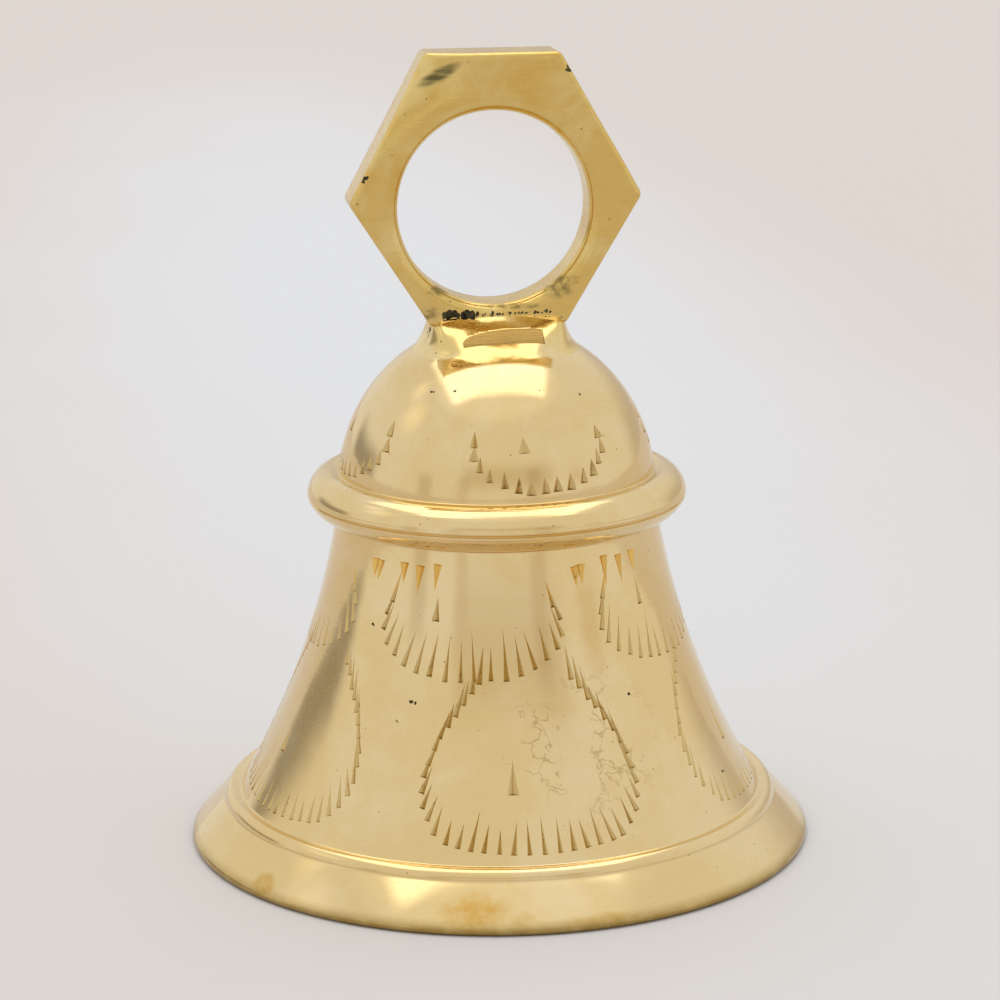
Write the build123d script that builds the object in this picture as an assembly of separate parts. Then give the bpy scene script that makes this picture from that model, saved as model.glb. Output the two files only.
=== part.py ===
from build123d import *
from math import asin, cos, degrees, radians, sqrt
import os

# Small brass puja bell with a hexagonal finger ring and a hung clapper. Millimetres, +Z up.
# The origin is the centre of the mouth. The ring's hole runs along Y, so that the ring's flat
# faces look forwards (-Y) and backwards (+Y). Pairs below are (radius, height) about the bell's
# axis, or (x, z) on the ring.

# ---- the shell ----------------------------------------------------------------------------
lip_r = 30.5  # largest radius of the mouth
lip_round = 0.5  # rounding of the lip
band_top = (27.2, 4.1)  # top of the sloping rim band
ledge_out = (26.5, 5.1)  # outer edge of the small ledge above the band
skirt_foot_z = 4.95  # where the skirt rises out of the ledge
skirt_top_z = 32.2  # where the skirt meets the collar
skirt_arc_r, skirt_arc_z, skirt_arc_radius = 96.1, 46.1, 81.6  # flaring skirt: centre and radius
wall = 2.1  # skirt wall thickness
mouth_bevel = 0.8  # inside edge of the mouth

collar_r = 18.45  # largest radius of the collar bead
collar_low = (16.6, 32.5)  # small step under the bead
collar_groove_z = 34.3  # fine turned groove round the bead
collar_high = (16.1, 36.8)  # where the bead runs out on the dome
dome_a, dome_h, dome_z = 15.4, 15.9, 35.1  # dome ellipse: radius, height, centre height
dome_foot_z = 36.6

crown_r = 7.3  # faced crown that the ring's foot sits on
crown_t = 3.0
crown_seat_r = 5.8  # flat inside the crown that the washer bears on
crown_hole_r = 3.05
inside_top = (11.25, 42.2)  # on the curve between the crown's seat and the skirt's inside
inside_waist_z = 35.5

# ---- the ring -----------------------------------------------------------------------------
# corners of the hexagon, which was filed by eye: from the bottom right one round by the top
ring_corners = [(6.5, 51.2), (13.9, 63.4), (6.1, 77.1), (-6.7, 77.1), (-14.2, 63.1), (-6.5, 51.2)]
ring_t = 5.6  # thickness along Y
ring_corner = 0.7  # rounding of the corners, seen from the front
ring_edge = 0.45  # softened edges of the flat faces
finger_hole_r = 9.2
finger_hole = (-0.3, 62.4)  # bored a little low and to one side
root_half_w = 5.4  # the plate's root, which stands on the crown inside the solder
root_top_z = 51.6

stud_r = 2.95
stud_below_nut = 0.4  # bare thread under the nut
stud_to_tang = 0.6  # how far the tang runs up into the stud
tang_t, tang_r = 2.2, 2.5  # flattened end of the stud: thickness, half width
tang_drop = 2.5  # from the stud's end down to the hole
tang_hole_r = 1.25

# ---- the solder built up round the ring's root --------------------------------------------
solder_out_r = 8.1  # where it runs out on the dome
solder_hollow = (7.1, 49.75)  # on the curve between there and the waist
solder_waist = (6.7, 51.2)
solder_flat_y = 6.1  # filed flats on the front and back
solder_slope_low_z = 50.9
solder_slope_high_z = 52.25

# ---- what holds the ring ------------------------------------------------------------------
washer_r, washer_t = 5.4, 0.9
nut_flats, nut_h = 10.0, 3.2
nut_chamfer = 0.45
thread_gap = 0.03  # between a rod and the bore that it is screwed or driven into

# ---- the hanging parts --------------------------------------------------------------------
link_wire_r = 0.75
link_bend_r = 2.9  # centreline radius of both bends
link_straight = 4.0  # between the two bend centres
link_drop = 0.12  # how far the link's centreline hangs below the centre of the tang's hole

eye_wire_r = 0.9
eye_r = 2.3  # centreline radius of the clapper's eye
eye_seat = 1.78  # from the link's lowest centreline up to the eye's highest one
rod_r = 1.1
ball_r = 5.6
ball_z = 9.2
ball_face = 5.2  # from the ball's centre to its faced ends
peen_r, peen_t, peen_round = 1.75, 0.9, 0.5  # peened rod end below the ball

# ---- heights that follow ------------------------------------------------------------------
crown_z = dome_z + dome_h * sqrt(1 - (crown_r / dome_a) ** 2)
crown_seat_z = crown_z - crown_t
nut_top_z = crown_seat_z - washer_t
stud_end_z = nut_top_z - nut_h - stud_below_nut
tang_hole_z = stud_end_z - tang_drop
link_high_bend_z = tang_hole_z - link_drop - link_bend_r
link_low_bend_z = link_high_bend_z - link_straight
eye_z = link_low_bend_z - link_bend_r + eye_seat - eye_r
ball_low_z = ball_z - ball_face
solder_in_z = dome_z + dome_h * sqrt(1 - (solder_flat_y / dome_a) ** 2)  # foot of the flats


def skirt_r(z, depth=0.0):
    """Radius of the skirt's outside at height z, or of the surface at a depth inside it."""
    return skirt_arc_r - sqrt((skirt_arc_radius + depth) ** 2 - (z - skirt_arc_z) ** 2)


def dome_r(z):
    """Radius of the dome's outside at height z."""
    return dome_a * sqrt(1 - ((z - dome_z) / dome_h) ** 2)


def dome_height(r):
    """Height of the dome's outside at radius r."""
    return dome_z + dome_h * sqrt(1 - (r / dome_a) ** 2)


def turned(edges):
    """Solid of revolution about Z of a closed outline of (radius, height) edges."""
    return revolve(Plane.XZ * make_face(edges), Axis.Z, 360)


def along_z(radius, low, high):
    return Pos(0, 0, (low + high) / 2) * Cylinder(radius, high - low)


def along_y(radius, length, x, z):
    return Pos(x, 0, z) * Rot(90, 0, 0) * Cylinder(radius, length)


# ---- the cast and turned shell ------------------------------------------------------------
def rim_outline():
    """Lip, sloping band and ledge, from the flat of the mouth up to the skirt's foot."""
    lip = CenterArc((lip_r - lip_round, lip_round), lip_round, -90, 135)
    swell = ((lip_r + band_top[0]) / 2 - 0.02, 2.5)
    foot = (skirt_r(skirt_foot_z), skirt_foot_z)
    return [
        lip,
        ThreePointArc(lip @ 1, swell, band_top),
        ThreePointArc(band_top, (band_top[0] - 0.2, 4.75), ledge_out),
        Line(ledge_out, foot),
    ]


def collar_outline():
    """Collar bead from the waist up to the dome: step, lower roll, groove, upper roll."""
    lower_end = (collar_r - 0.1, collar_groove_z - 0.15)
    groove = (collar_r - 0.3, collar_groove_z)
    upper_start = (collar_r, collar_groove_z + 0.2)
    return [
        Line((skirt_r(skirt_top_z), skirt_top_z), collar_low),
        ThreePointArc(collar_low, (17.75, 33.2), lower_end),
        Line(lower_end, groove),
        Line(groove, upper_start),
        ThreePointArc(upper_start, (17.75, 36.1), collar_high),
        Line(collar_high, (dome_r(dome_foot_z), dome_foot_z)),
    ]


def skirt_curve(low_z, high_z, depth=0.0):
    mid_z = (low_z + high_z) / 2
    return ThreePointArc(*[(skirt_r(z, depth), z) for z in (low_z, mid_z, high_z)])


def dome_curve():
    """Part of the dome's ellipse, from the collar up to the edge of the crown."""
    low, high = [degrees(asin((z - dome_z) / dome_h)) for z in (dome_foot_z, crown_z)]
    return EllipticalCenterArc((0, dome_z), dome_a, dome_h, low, arc_size=high - low)


def bell_shell():
    crown_edge = (crown_r, crown_z)
    hole_top = (crown_hole_r, crown_z)
    hole_low = (crown_hole_r, crown_seat_z)
    seat = (crown_seat_r, crown_seat_z)
    waist = (skirt_r(inside_waist_z, wall), inside_waist_z)
    bevel_high = (skirt_r(mouth_bevel, wall), mouth_bevel)
    bevel_low = (bevel_high[0] + mouth_bevel, 0)
    return turned(
        [
            *rim_outline(),
            skirt_curve(skirt_foot_z, skirt_top_z),
            *collar_outline(),
            dome_curve(),
            Polyline(crown_edge, hole_top, hole_low, seat),
            ThreePointArc(seat, inside_top, waist),
            skirt_curve(inside_waist_z, mouth_bevel, wall),
            Polyline(bevel_high, bevel_low, (lip_r - lip_round, 0)),
        ]
    )


# ---- the finger ring with its root, stud and tang, and the solder round the root ----------
def ring_plate():
    """Hexagonal plate with softened corners and edges, and the round finger hole."""
    bottom_z = ring_corners[0][1]
    outline = make_face(Polyline(*ring_corners, close=True))
    outline = fillet([v for v in outline.vertices() if v.Y > bottom_z + 1], ring_corner)
    plate = extrude(Plane.XZ * outline, amount=ring_t / 2, both=True)
    rims = plate.faces().filter_by(Axis.Y).edges()
    plate = fillet([e for e in rims if e.center().Z > bottom_z + 0.5], ring_edge)
    return plate - along_y(finger_hole_r, ring_t * 2, *finger_hole)


def ring_handle():
    root_h = root_top_z - crown_z
    root = Pos(0, 0, crown_z + root_h / 2) * Box(2 * root_half_w, ring_t, root_h)
    stud = along_z(stud_r, stud_end_z, crown_z)
    neck_z = stud_end_z + stud_to_tang
    blade = Pos(0, 0, (tang_hole_z + neck_z) / 2) * Box(2 * tang_r, tang_t, neck_z - tang_hole_z)
    tang = blade + along_y(tang_r, tang_t, 0, tang_hole_z)
    body = ring_plate() + root + stud + tang
    return body - along_y(tang_hole_r, 2 * tang_t, 0, tang_hole_z)


def solder_slab():
    """What the file left of the solder, seen from the side: two flats and two slopes."""
    face_y = ring_t / 2
    side = Polyline(
        (-dome_a, crown_z - 1),
        (dome_a, crown_z - 1),
        (dome_a, solder_in_z),
        (solder_flat_y, solder_in_z),
        (solder_flat_y, solder_slope_low_z),
        (face_y, solder_slope_high_z),
        (-face_y, solder_slope_high_z),
        (-solder_flat_y, solder_slope_low_z),
        (-solder_flat_y, solder_in_z),
        (-dome_a, solder_in_z),
        close=True,
    )
    return extrude(Plane.YZ * make_face(side), amount=dome_a, both=True)


def solder_collar(shell, handle):
    """Solder round the ring's root, blended into the dome and filed at the front and back."""
    outer = (solder_out_r, dome_height(solder_out_r))
    top = (solder_waist[0], solder_slope_high_z)
    collar = turned(
        [
            ThreePointArc(outer, solder_hollow, solder_waist),
            Polyline(solder_waist, top, (0, top[1]), (0, outer[1]), outer),
        ]
    )
    return (collar & solder_slab()) - shell - handle


# ---- inside the crown ---------------------------------------------------------------------
def crown_washer():
    ring = along_z(washer_r, nut_top_z, crown_seat_z)
    return ring - along_z(crown_hole_r, nut_top_z - 1, crown_seat_z + 1)


def crown_nut():
    corner_r = nut_flats / 2 / cos(radians(30))
    low_z = nut_top_z - nut_h
    blank = Pos(0, 0, low_z) * extrude(RegularPolygon(corner_r, 6), amount=nut_h)
    cone = Pos(0, 0, low_z + nut_h / 2) * Cone(corner_r - nut_chamfer, corner_r + nut_h, nut_h)
    return (blank & cone) - along_z(stud_r + thread_gap, low_z - 1, nut_top_z + 1)


# ---- the hanging parts --------------------------------------------------------------------
def clapper_link():
    """Closed oval link of steel wire that lies in the YZ plane."""
    start = (-link_bend_r, link_low_bend_z)
    path = [
        Line(start, (-link_bend_r, link_high_bend_z)),
        CenterArc((0, link_high_bend_z), link_bend_r, 180, -180),
        Line((link_bend_r, link_high_bend_z), (link_bend_r, link_low_bend_z)),
        CenterArc((0, link_low_bend_z), link_bend_r, 0, -180),
    ]
    wire = Wire([edge for piece in path for edge in (Plane.YZ * piece).edges()])
    section = Pos(0, *start) * Circle(link_wire_r)
    return sweep(section, path=wire)


def clapper_rod():
    """Rod with an eye at the top and a peened end below the ball."""
    eye = Pos(0, 0, eye_z) * Rot(90, 0, 0) * Torus(eye_r, eye_wire_r)
    shank = along_z(rod_r, ball_low_z - peen_t / 2, eye_z - eye_r)
    head = along_z(peen_r, ball_low_z - peen_t, ball_low_z)
    head = fillet(head.edges().sort_by(Axis.Z)[0], peen_round)
    return eye + shank + head


def clapper_ball():
    ball = Pos(0, 0, ball_z) * Sphere(ball_r)
    faced = ball & along_z(ball_r, ball_low_z, ball_z + ball_face)
    return faced - along_z(rod_r + thread_gap, ball_low_z - 1, ball_z + ball_r)


# ---- write one STEP per piece -------------------------------------------------------------
def main():
    shell = bell_shell()
    handle = ring_handle()
    pieces = {
        "bell_shell": shell,
        "ring_handle": handle,
        "solder_collar": solder_collar(shell, handle),
        "crown_washer": crown_washer(),
        "crown_nut": crown_nut(),
        "clapper_link": clapper_link(),
        "clapper_rod": clapper_rod(),
        "clapper_ball": clapper_ball(),
    }
    os.makedirs("parts", exist_ok=True)
    for name, piece in pieces.items():
        export_step(piece, f"parts/{name}.step")
        box = piece.bounding_box()
        print(name, len(piece.solids()), "solid", round(piece.volume, 1), "mm3", box.min, box.max)


main()
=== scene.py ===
import bmesh
import bpy
import numpy as np
from math import acos, atan2, cos, hypot, pi, radians, sin, sqrt, tan
from mathutils import Matrix, Vector, noise


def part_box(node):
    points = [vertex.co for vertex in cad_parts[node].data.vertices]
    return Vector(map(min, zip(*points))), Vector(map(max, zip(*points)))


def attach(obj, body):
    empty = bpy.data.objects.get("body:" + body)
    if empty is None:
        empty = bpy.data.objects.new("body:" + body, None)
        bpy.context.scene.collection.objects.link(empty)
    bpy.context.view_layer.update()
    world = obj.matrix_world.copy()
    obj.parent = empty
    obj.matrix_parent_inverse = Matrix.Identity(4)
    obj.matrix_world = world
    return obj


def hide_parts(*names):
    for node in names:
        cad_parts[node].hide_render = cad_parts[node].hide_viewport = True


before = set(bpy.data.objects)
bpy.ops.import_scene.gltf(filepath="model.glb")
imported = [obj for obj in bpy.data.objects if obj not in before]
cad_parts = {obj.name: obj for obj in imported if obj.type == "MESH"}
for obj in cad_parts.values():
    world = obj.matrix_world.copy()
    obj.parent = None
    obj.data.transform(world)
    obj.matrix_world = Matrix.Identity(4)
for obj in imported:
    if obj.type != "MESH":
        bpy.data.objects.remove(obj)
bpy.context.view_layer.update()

# Small brass puja bell. Sizes in the dictionaries are millimetres and degrees unless a note says so.
mm = 0.001
shellLow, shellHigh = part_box("bell_shell")
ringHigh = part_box("ring_handle")[1]


# nodes: short ways to add, feed and join them
def feed(socket, value):
    if isinstance(value, bpy.types.NodeSocket):
        socket.id_data.links.new(value, socket)
    elif value is not None:
        socket.default_value = value


def addNode(tree, kind, inputs=None, **settings):
    node = tree.nodes.new(kind)
    for name, value in settings.items():
        setattr(node, name, value)
    for name, value in (inputs or {}).items():
        feed(node.inputs[name], value)
    return node


def treeOf(*values):
    # the tree that the first socket or node among the values belongs to
    return next(value.id_data for value in values if isinstance(value, bpy.types.bpy_struct))


def calc(operation, *values):
    node = addNode(treeOf(*values), "ShaderNodeMath", operation=operation)
    for socket, value in zip(node.inputs, values):
        feed(socket, value)
    return node.outputs[0]


def times(first, second):
    return calc("MULTIPLY", first, second)


def largest(*values):
    # where several masks meet, the strongest one counts
    total = values[0]
    for value in values[1:]:
        total = calc("MAXIMUM", total, value)
    return total


def vectorCalc(operation, *values):
    node = addNode(treeOf(*values), "ShaderNodeVectorMath", operation=operation)
    for socket, value in zip(node.inputs, values):
        feed(socket, value)
    return node.outputs[0]


def joinXyz(x, y, z):
    return addNode(treeOf(x, y, z), "ShaderNodeCombineXYZ", {"X": x, "Y": y, "Z": z}).outputs[0]


def lengthOf(vector):
    return addNode(treeOf(vector), "ShaderNodeVectorMath", {0: vector}, operation="LENGTH").outputs["Value"]


def splitXyz(vector):
    return addNode(treeOf(vector), "ShaderNodeSeparateXYZ", {"Vector": vector}).outputs


def ramp(value, low, high, outLow=0.0, outHigh=1.0):
    inputs = {"Value": value, "From Min": low, "From Max": high, "To Min": outLow, "To Max": outHigh}
    node = addNode(treeOf(value), "ShaderNodeMapRange", inputs, interpolation_type="SMOOTHSTEP")
    return node.outputs["Result"]


def mixColour(factor, first, second, blend="MIX"):
    node = addNode(treeOf(factor, first, second), "ShaderNodeMix", data_type="RGBA", blend_type=blend)
    for index, value in ((0, factor), (6, first), (7, second)):
        feed(node.inputs[index], value)
    return node.outputs[2]


def tinted(colour, other, mask, share):
    return mixColour(times(mask, share), colour, other)


def noiseOn(vector, scale, detail=2.0, roughness=0.5, distortion=0.0):
    inputs = {"Vector": vector, "Scale": scale, "Detail": detail, "Roughness": roughness,
              "Distortion": distortion}
    return addNode(treeOf(vector), "ShaderNodeTexNoise", inputs).outputs["Fac"]


def openTree(name, kind, inputs, outputs):
    # inputs and outputs are (title, socket kind, value or None)
    tree = bpy.data.node_groups.new(name, kind)
    for title, socketKind, value in inputs:
        socket = tree.interface.new_socket(title, in_out="INPUT", socket_type="NodeSocket" + socketKind)
        if value is not None:
            socket.default_value = value
    for title, socketKind in outputs:
        tree.interface.new_socket(title, in_out="OUTPUT", socket_type="NodeSocket" + socketKind)
    given = tree.nodes.new("NodeGroupInput").outputs
    result = tree.nodes.new("NodeGroupOutput").inputs
    return tree, given, result


def closeTree(tree, result, made, material):
    # every tree ends in real geometry with its finish on it
    whole = addNode(tree, "GeometryNodeRealizeInstances", {"Geometry": made}).outputs[0]
    finished = addNode(tree, "GeometryNodeSetMaterial", {"Geometry": whole, "Material": material})
    feed(result["Mesh"], finished.outputs[0])
    return tree


def setInputs(modifier, tree, values):
    # a modifier's inputs go by the identifier of the socket
    for item in tree.interface.items_tree:
        if item.in_out == "INPUT" and item.name in values:
            modifier[item.identifier] = values[item.name]


def emptyObject(name):
    thing = bpy.data.objects.new(name, bpy.data.meshes.new(name))
    bpy.context.scene.collection.objects.link(thing)
    return thing


def meshObject(name, points, faces, materials=()):
    thing = emptyObject(name)
    thing.data.from_pydata(points, [], faces)
    for material in materials:
        thing.data.materials.append(material)
    return thing


def bandFaces(rows, size):
    # faces of a closed band: rows of points round it, each row closed too
    return [(i * size + k, (i + 1) % rows * size + k, (i + 1) % rows * size + (k + 1) % size,
             i * size + (k + 1) % size) for i in range(rows) for k in range(size)]


def asPlainMesh(thing):
    # what the modifiers make becomes the object's own mesh, and they go
    bpy.context.view_layer.update()
    made = thing.evaluated_get(bpy.context.evaluated_depsgraph_get())
    plain = bpy.data.meshes.new_from_object(made)
    thing.modifiers.clear()
    thing.data = plain
    plain.name = thing.name
    dropEmptySlots(plain)
    return thing


def dropEmptySlots(mesh):
    # a tree leaves an empty slot behind it; faces keep the finish that they had
    slots = list(mesh.materials)
    if None not in slots:
        return
    kept = [m for m in slots if m]
    index = [kept.index(slots[face.material_index] or kept[0]) for face in mesh.polygons]
    mesh.materials.clear()
    for material in kept:
        mesh.materials.append(material)
    mesh.polygons.foreach_set("material_index", index)


def runTree(name, tree, values):
    thing = emptyObject(name)
    modifier = thing.modifiers.new(name, "NODES")
    modifier.node_group = tree
    setInputs(modifier, tree, values)
    return asPlainMesh(thing)


def joined(name, things):
    # one mesh from several, each with the materials that it already has
    target = things[0]
    with bpy.context.temp_override(active_object=target, selected_editable_objects=things):
        bpy.ops.object.join()
    target.name = target.data.name = name
    return target


def forget(*things):
    for thing in things:
        bpy.data.objects.remove(thing, do_unlink=True)


# effects that several finishes share
def makeTurnedLines():
    # fine rings left by the lathe: noise that changes fast with height and slowly round the bell
    tree, given, result = openTree(
        "turnedLines", "ShaderNodeTree",
        [("Vector", "Vector", None), ("Lines", "Float", 2500.0), ("Wander", "Float", 0.6)],
        [("Height", "Float"), ("Broad", "Float")])
    x, y, z = splitXyz(given["Vector"])
    turn = calc("ARCTAN2", x, times(y, -1.0))
    radius = calc("SQRT", calc("ADD", times(x, x), times(y, y)))
    along = calc("SUBTRACT", z, times(radius, 0.35))
    place = joinXyz(times(calc("SINE", turn), given["Wander"]),
                    times(calc("COSINE", turn), given["Wander"]),
                    times(along, given["Lines"]))
    feed(result["Height"], noiseOn(place, 1.0, 3.0, 0.6))
    slow = joinXyz(0.0, 0.0, times(times(along, given["Lines"]), 0.12))
    feed(result["Broad"], noiseOn(slow, 1.0, 2.0, 0.5))
    return tree


def makeHairScratches():
    # short hair lines in three directions, each a noise stretched a long way and cut to its crest
    tree, given, result = openTree(
        "hairScratches", "ShaderNodeTree",
        [("Vector", "Vector", None), ("Scale", "Float", 900.0), ("Few", "Float", 0.7)],
        [("Mask", "Float")])
    lines = []
    for turn in ((0.3, 0.9, 0.2), (1.2, -0.4, 0.8), (-0.5, 0.25, -1.1)):
        turned = addNode(tree, "ShaderNodeMapping", {"Vector": given["Vector"], "Rotation": turn,
                                                     "Scale": (1.0, 0.03, 1.0)}).outputs[0]
        crest = noiseOn(turned, given["Scale"], 1.0, 0.5, 0.15)
        lines.append(ramp(crest, given["Few"], calc("ADD", given["Few"], 0.03)))
    feed(result["Mask"], largest(*lines))
    return tree


def makeCrazing():
    # fine broken cracks: the borders of warped cells, shown only here and there
    tree, given, result = openTree(
        "crazing", "ShaderNodeTree",
        [("Vector", "Vector", None), ("Scale", "Float", 420.0), ("Width", "Float", 0.03),
         ("Broken", "Float", 0.52)],
        [("Mask", "Float")])
    warp = addNode(tree, "ShaderNodeTexNoise", {"Vector": given["Vector"], "Scale": 700.0, "Detail": 3.0})
    shove = vectorCalc("SCALE", vectorCalc("SUBTRACT", warp.outputs["Color"], (0.5, 0.5, 0.5)))
    shove.node.inputs["Scale"].default_value = 0.0035
    place = vectorCalc("ADD", given["Vector"], shove)
    cells = addNode(tree, "ShaderNodeTexVoronoi", {"Vector": place, "Scale": given["Scale"]},
                    feature="DISTANCE_TO_EDGE").outputs["Distance"]
    crack = ramp(cells, given["Width"], 0.0)
    gaps = noiseOn(given["Vector"], 260.0, 2.0)
    shown = ramp(gaps, given["Broken"], calc("ADD", given["Broken"], 0.08))
    feed(result["Mask"], times(crack, shown))
    return tree


def makeTarnish():
    # soft blotches with a finer mottle inside them
    tree, given, result = openTree(
        "tarnish", "ShaderNodeTree",
        [("Vector", "Vector", None), ("Scale", "Float", 90.0), ("Cover", "Float", 0.5)],
        [("Mask", "Float"), ("Mottle", "Float")])
    broad = noiseOn(given["Vector"], given["Scale"], 4.0, 0.55, 0.6)
    fine = noiseOn(given["Vector"], times(given["Scale"], 7.0), 3.0, 0.6)
    level = calc("ADD", times(broad, 0.8), times(fine, 0.2))
    edge = calc("SUBTRACT", 1.0, given["Cover"])
    feed(result["Mask"], ramp(level, calc("SUBTRACT", edge, 0.08), calc("ADD", edge, 0.12)))
    feed(result["Mottle"], fine)
    return tree


def makePinholes():
    # pinholes of a casting: small round cells of uneven size, most of them left out
    tree, given, result = openTree(
        "pinholes", "ShaderNodeTree",
        [("Vector", "Vector", None), ("Scale", "Float", 900.0), ("Size", "Float", 0.18),
         ("Few", "Float", 0.8)],
        [("Mask", "Float")])
    cells = addNode(tree, "ShaderNodeTexVoronoi", {"Vector": given["Vector"], "Scale": given["Scale"]})
    chance = splitXyz(cells.outputs["Color"])[0]
    kept = calc("GREATER_THAN", chance, given["Few"])
    hole = ramp(cells.outputs["Distance"], given["Size"], times(given["Size"], 0.4))
    feed(result["Mask"], times(hole, kept))
    return tree


turnedLines = makeTurnedLines()
hairScratches = makeHairScratches()
crazing = makeCrazing()
tarnish = makeTarnish()
pinholes = makePinholes()


def useGroup(group, place, **inputs):
    node = addNode(treeOf(place), "ShaderNodeGroup", node_tree=group)
    for name, value in dict(inputs, Vector=place).items():
        feed(node.inputs[name], value)
    return node.outputs


def spotMask(place, centre, reach, ragged=0.3, tilt=0.0):
    # 1 near a point of the bell, fading out unevenly; tilt turns a long spot as seen from the front
    away = vectorCalc("SUBTRACT", place, [c * mm for c in centre])
    away = addNode(treeOf(place), "ShaderNodeVectorRotate", {"Vector": away, "Angle": radians(tilt)},
                   rotation_type="Y_AXIS").outputs[0]
    scaled = vectorCalc("DIVIDE", away, [r * mm for r in reach])
    distance = lengthOf(scaled)
    wobble = calc("MULTIPLY_ADD", noiseOn(place, 500.0, 3.0), ragged, -0.5 * ragged)
    return ramp(calc("ADD", distance, wobble), 1.0, 0.35)


def spotsMask(place, spots, ragged):
    return largest(*[spotMask(place, centre, reach, ragged) for centre, reach in spots])


def newFinish(name, metallic=1.0, roughness=0.2):
    material = bpy.data.materials.new(name)
    material.use_nodes = True
    tree = material.node_tree
    tree.nodes.clear()
    shader = addNode(tree, "ShaderNodeBsdfPrincipled", {"Metallic": metallic, "Roughness": roughness})
    output = tree.nodes.new("ShaderNodeOutputMaterial")
    tree.links.new(shader.outputs[0], output.inputs[0])
    place = tree.nodes.new("ShaderNodeTexCoord").outputs["Object"]
    return material, shader, place


def bumped(shader, height, distance, strength=1.0):
    inputs = {"Height": height, "Distance": distance, "Strength": strength}
    node = addNode(treeOf(shader), "ShaderNodeBump", inputs)
    feed(shader.inputs["Normal"], node.outputs["Normal"])


def settle(shader, colour, rough, height, distance, strength=1.0):
    feed(shader.inputs["Base Color"], colour)
    feed(shader.inputs["Roughness"], rough)
    bumped(shader, height, distance, strength)


def addUp(*parts):
    # sum of (value, weight) pairs
    total = 0.0
    for value, weight in parts:
        total = calc("MULTIPLY_ADD", value, weight, total)
    return total


polish = {
    "gold": (0.80, 0.615, 0.305, 1), "deepGold": (0.70, 0.49, 0.185, 1), "paleGold": (0.84, 0.68, 0.40, 1),
    # the lip colour is painted shade for the bottom edge of the bell
    "stain": (0.62, 0.36, 0.07, 1), "lip": (0.36, 0.235, 0.055, 1), "hair": (0.36, 0.25, 0.09, 1),
    "roughness": 0.085,
    "stains": [((-6.5, -28.6, 1.9), (4.2, 3.0, 2.0)), ((-2.3, -28.6, 1.2), (2.2, 2.0, 1.2)),
               ((-24.6, -16.6, 1.4), (2.0, 2.0, 1.2)), ((3.4, -29.0, 0.9), (7.5, 2.0, 0.7))],
    "crackedAt": ((5.2, -20.5, 15.0), (11.5, 9.0, 9.0)),
}


def makePolishedBrass():
    material, shader, place = newFinish("polishedBrass")
    lines = useGroup(turnedLines, place, Lines=2600.0, Wander=0.5)
    blotch = useGroup(tarnish, place, Scale=70.0, Cover=0.5)
    hair = useGroup(hairScratches, place, Scale=9000.0, Few=0.72)["Mask"]
    holes = useGroup(pinholes, place, Scale=1500.0, Size=0.16, Few=0.96)["Mask"]
    cracks = useGroup(crazing, place, Scale=330.0, Width=0.045, Broken=0.47)["Mask"]
    around = spotMask(place, *polish["crackedAt"], ragged=0.5)
    cracks = times(cracks, around)
    colour = mixColour(blotch["Mask"], polish["gold"], polish["paleGold"])
    colour = tinted(colour, polish["deepGold"], lines["Broad"], 0.35)
    stained = spotsMask(place, polish["stains"], 0.9)
    patchy = times(stained, ramp(blotch["Mottle"], 0.35, 0.6, 0.35, 0.85))
    colour = mixColour(patchy, colour, polish["stain"])
    height = splitXyz(place)[2]
    # painted shade: the bottom edge of the lip is darkened, broken up a little by the mottle
    lip = times(ramp(height, 0.0015, 0.0004), ramp(blotch["Mottle"], 0.3, 0.6, 0.7, 1.0))
    colour = tinted(colour, polish["lip"], lip, 0.9)
    darkening = largest(times(hair, 0.35), times(cracks, 0.5), holes)
    colour = mixColour(darkening, colour, polish["hair"])
    rough = addUp((blotch["Mask"], 0.03), (lines["Height"], 0.05), (darkening, 0.25), (patchy, 0.18))
    waves = noiseOn(place, 110.0, 2.0, 0.45)
    height = addUp((waves, 1.0), (lines["Height"], 0.03), (darkening, -0.12))
    settle(shader, colour, calc("ADD", rough, polish["roughness"] - 0.03), height, 0.00012, 0.8)
    return material


cutGold = {"gold": (0.66, 0.49, 0.21, 1), "orange": (0.78, 0.50, 0.14, 1), "dark": (0.26, 0.17, 0.055, 1),
           "foot": (0.20, 0.125, 0.04, 1), "roughness": 0.26}


def makeChiselledBrass():
    # bottoms and walls of the struck marks: not polished, with old polish paste in them; the wall across the
    # foot of each mark is coloured darker
    material, shader, place = newFinish("chiselledBrass")
    tree = treeOf(shader)
    blotch = useGroup(tarnish, place, Scale=900.0, Cover=0.36)
    grain = noiseOn(place, 6000.0, 2.0)
    hung = ramp(splitXyz(place)[2], 0.0275, 0.0285)  # the wedges under the waist
    hung = times(hung, ramp(splitXyz(place)[2], 0.0345, 0.0335))
    colour = mixColour(hung, cutGold["gold"], cutGold["orange"])
    colour = tinted(colour, cutGold["dark"], blotch["Mask"], 0.8)
    facing = splitXyz(tree.nodes.new("ShaderNodeTexCoord").outputs["Normal"])[2]
    foot = ramp(calc("ABSOLUTE", facing), 0.76, 0.84)  # the wall across the foot of a mark
    foot = times(foot, ramp(hung, 0.0, 1.0, 0.75, 0.2))
    colour = mixColour(foot, colour, cutGold["foot"])
    settle(shader, colour, calc("MULTIPLY_ADD", blotch["Mask"], 0.3, cutGold["roughness"]),
           grain, 0.00003, 0.6)
    return material


def makePitDirt():
    material, shader, place = newFinish("pitDirt", metallic=0.2, roughness=0.65)
    blotch = useGroup(tarnish, place, Scale=900.0, Cover=0.5)
    colour = mixColour(blotch["Mask"], (0.050, 0.040, 0.018, 1), (0.150, 0.130, 0.055, 1))
    feed(shader.inputs["Base Color"], colour)
    bumped(shader, blotch["Mottle"], 0.00006)
    return material


insideGold = {"gold": (0.62, 0.44, 0.19, 1), "dull": (0.40, 0.28, 0.13, 1), "brown": (0.20, 0.12, 0.05, 1)}


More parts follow.
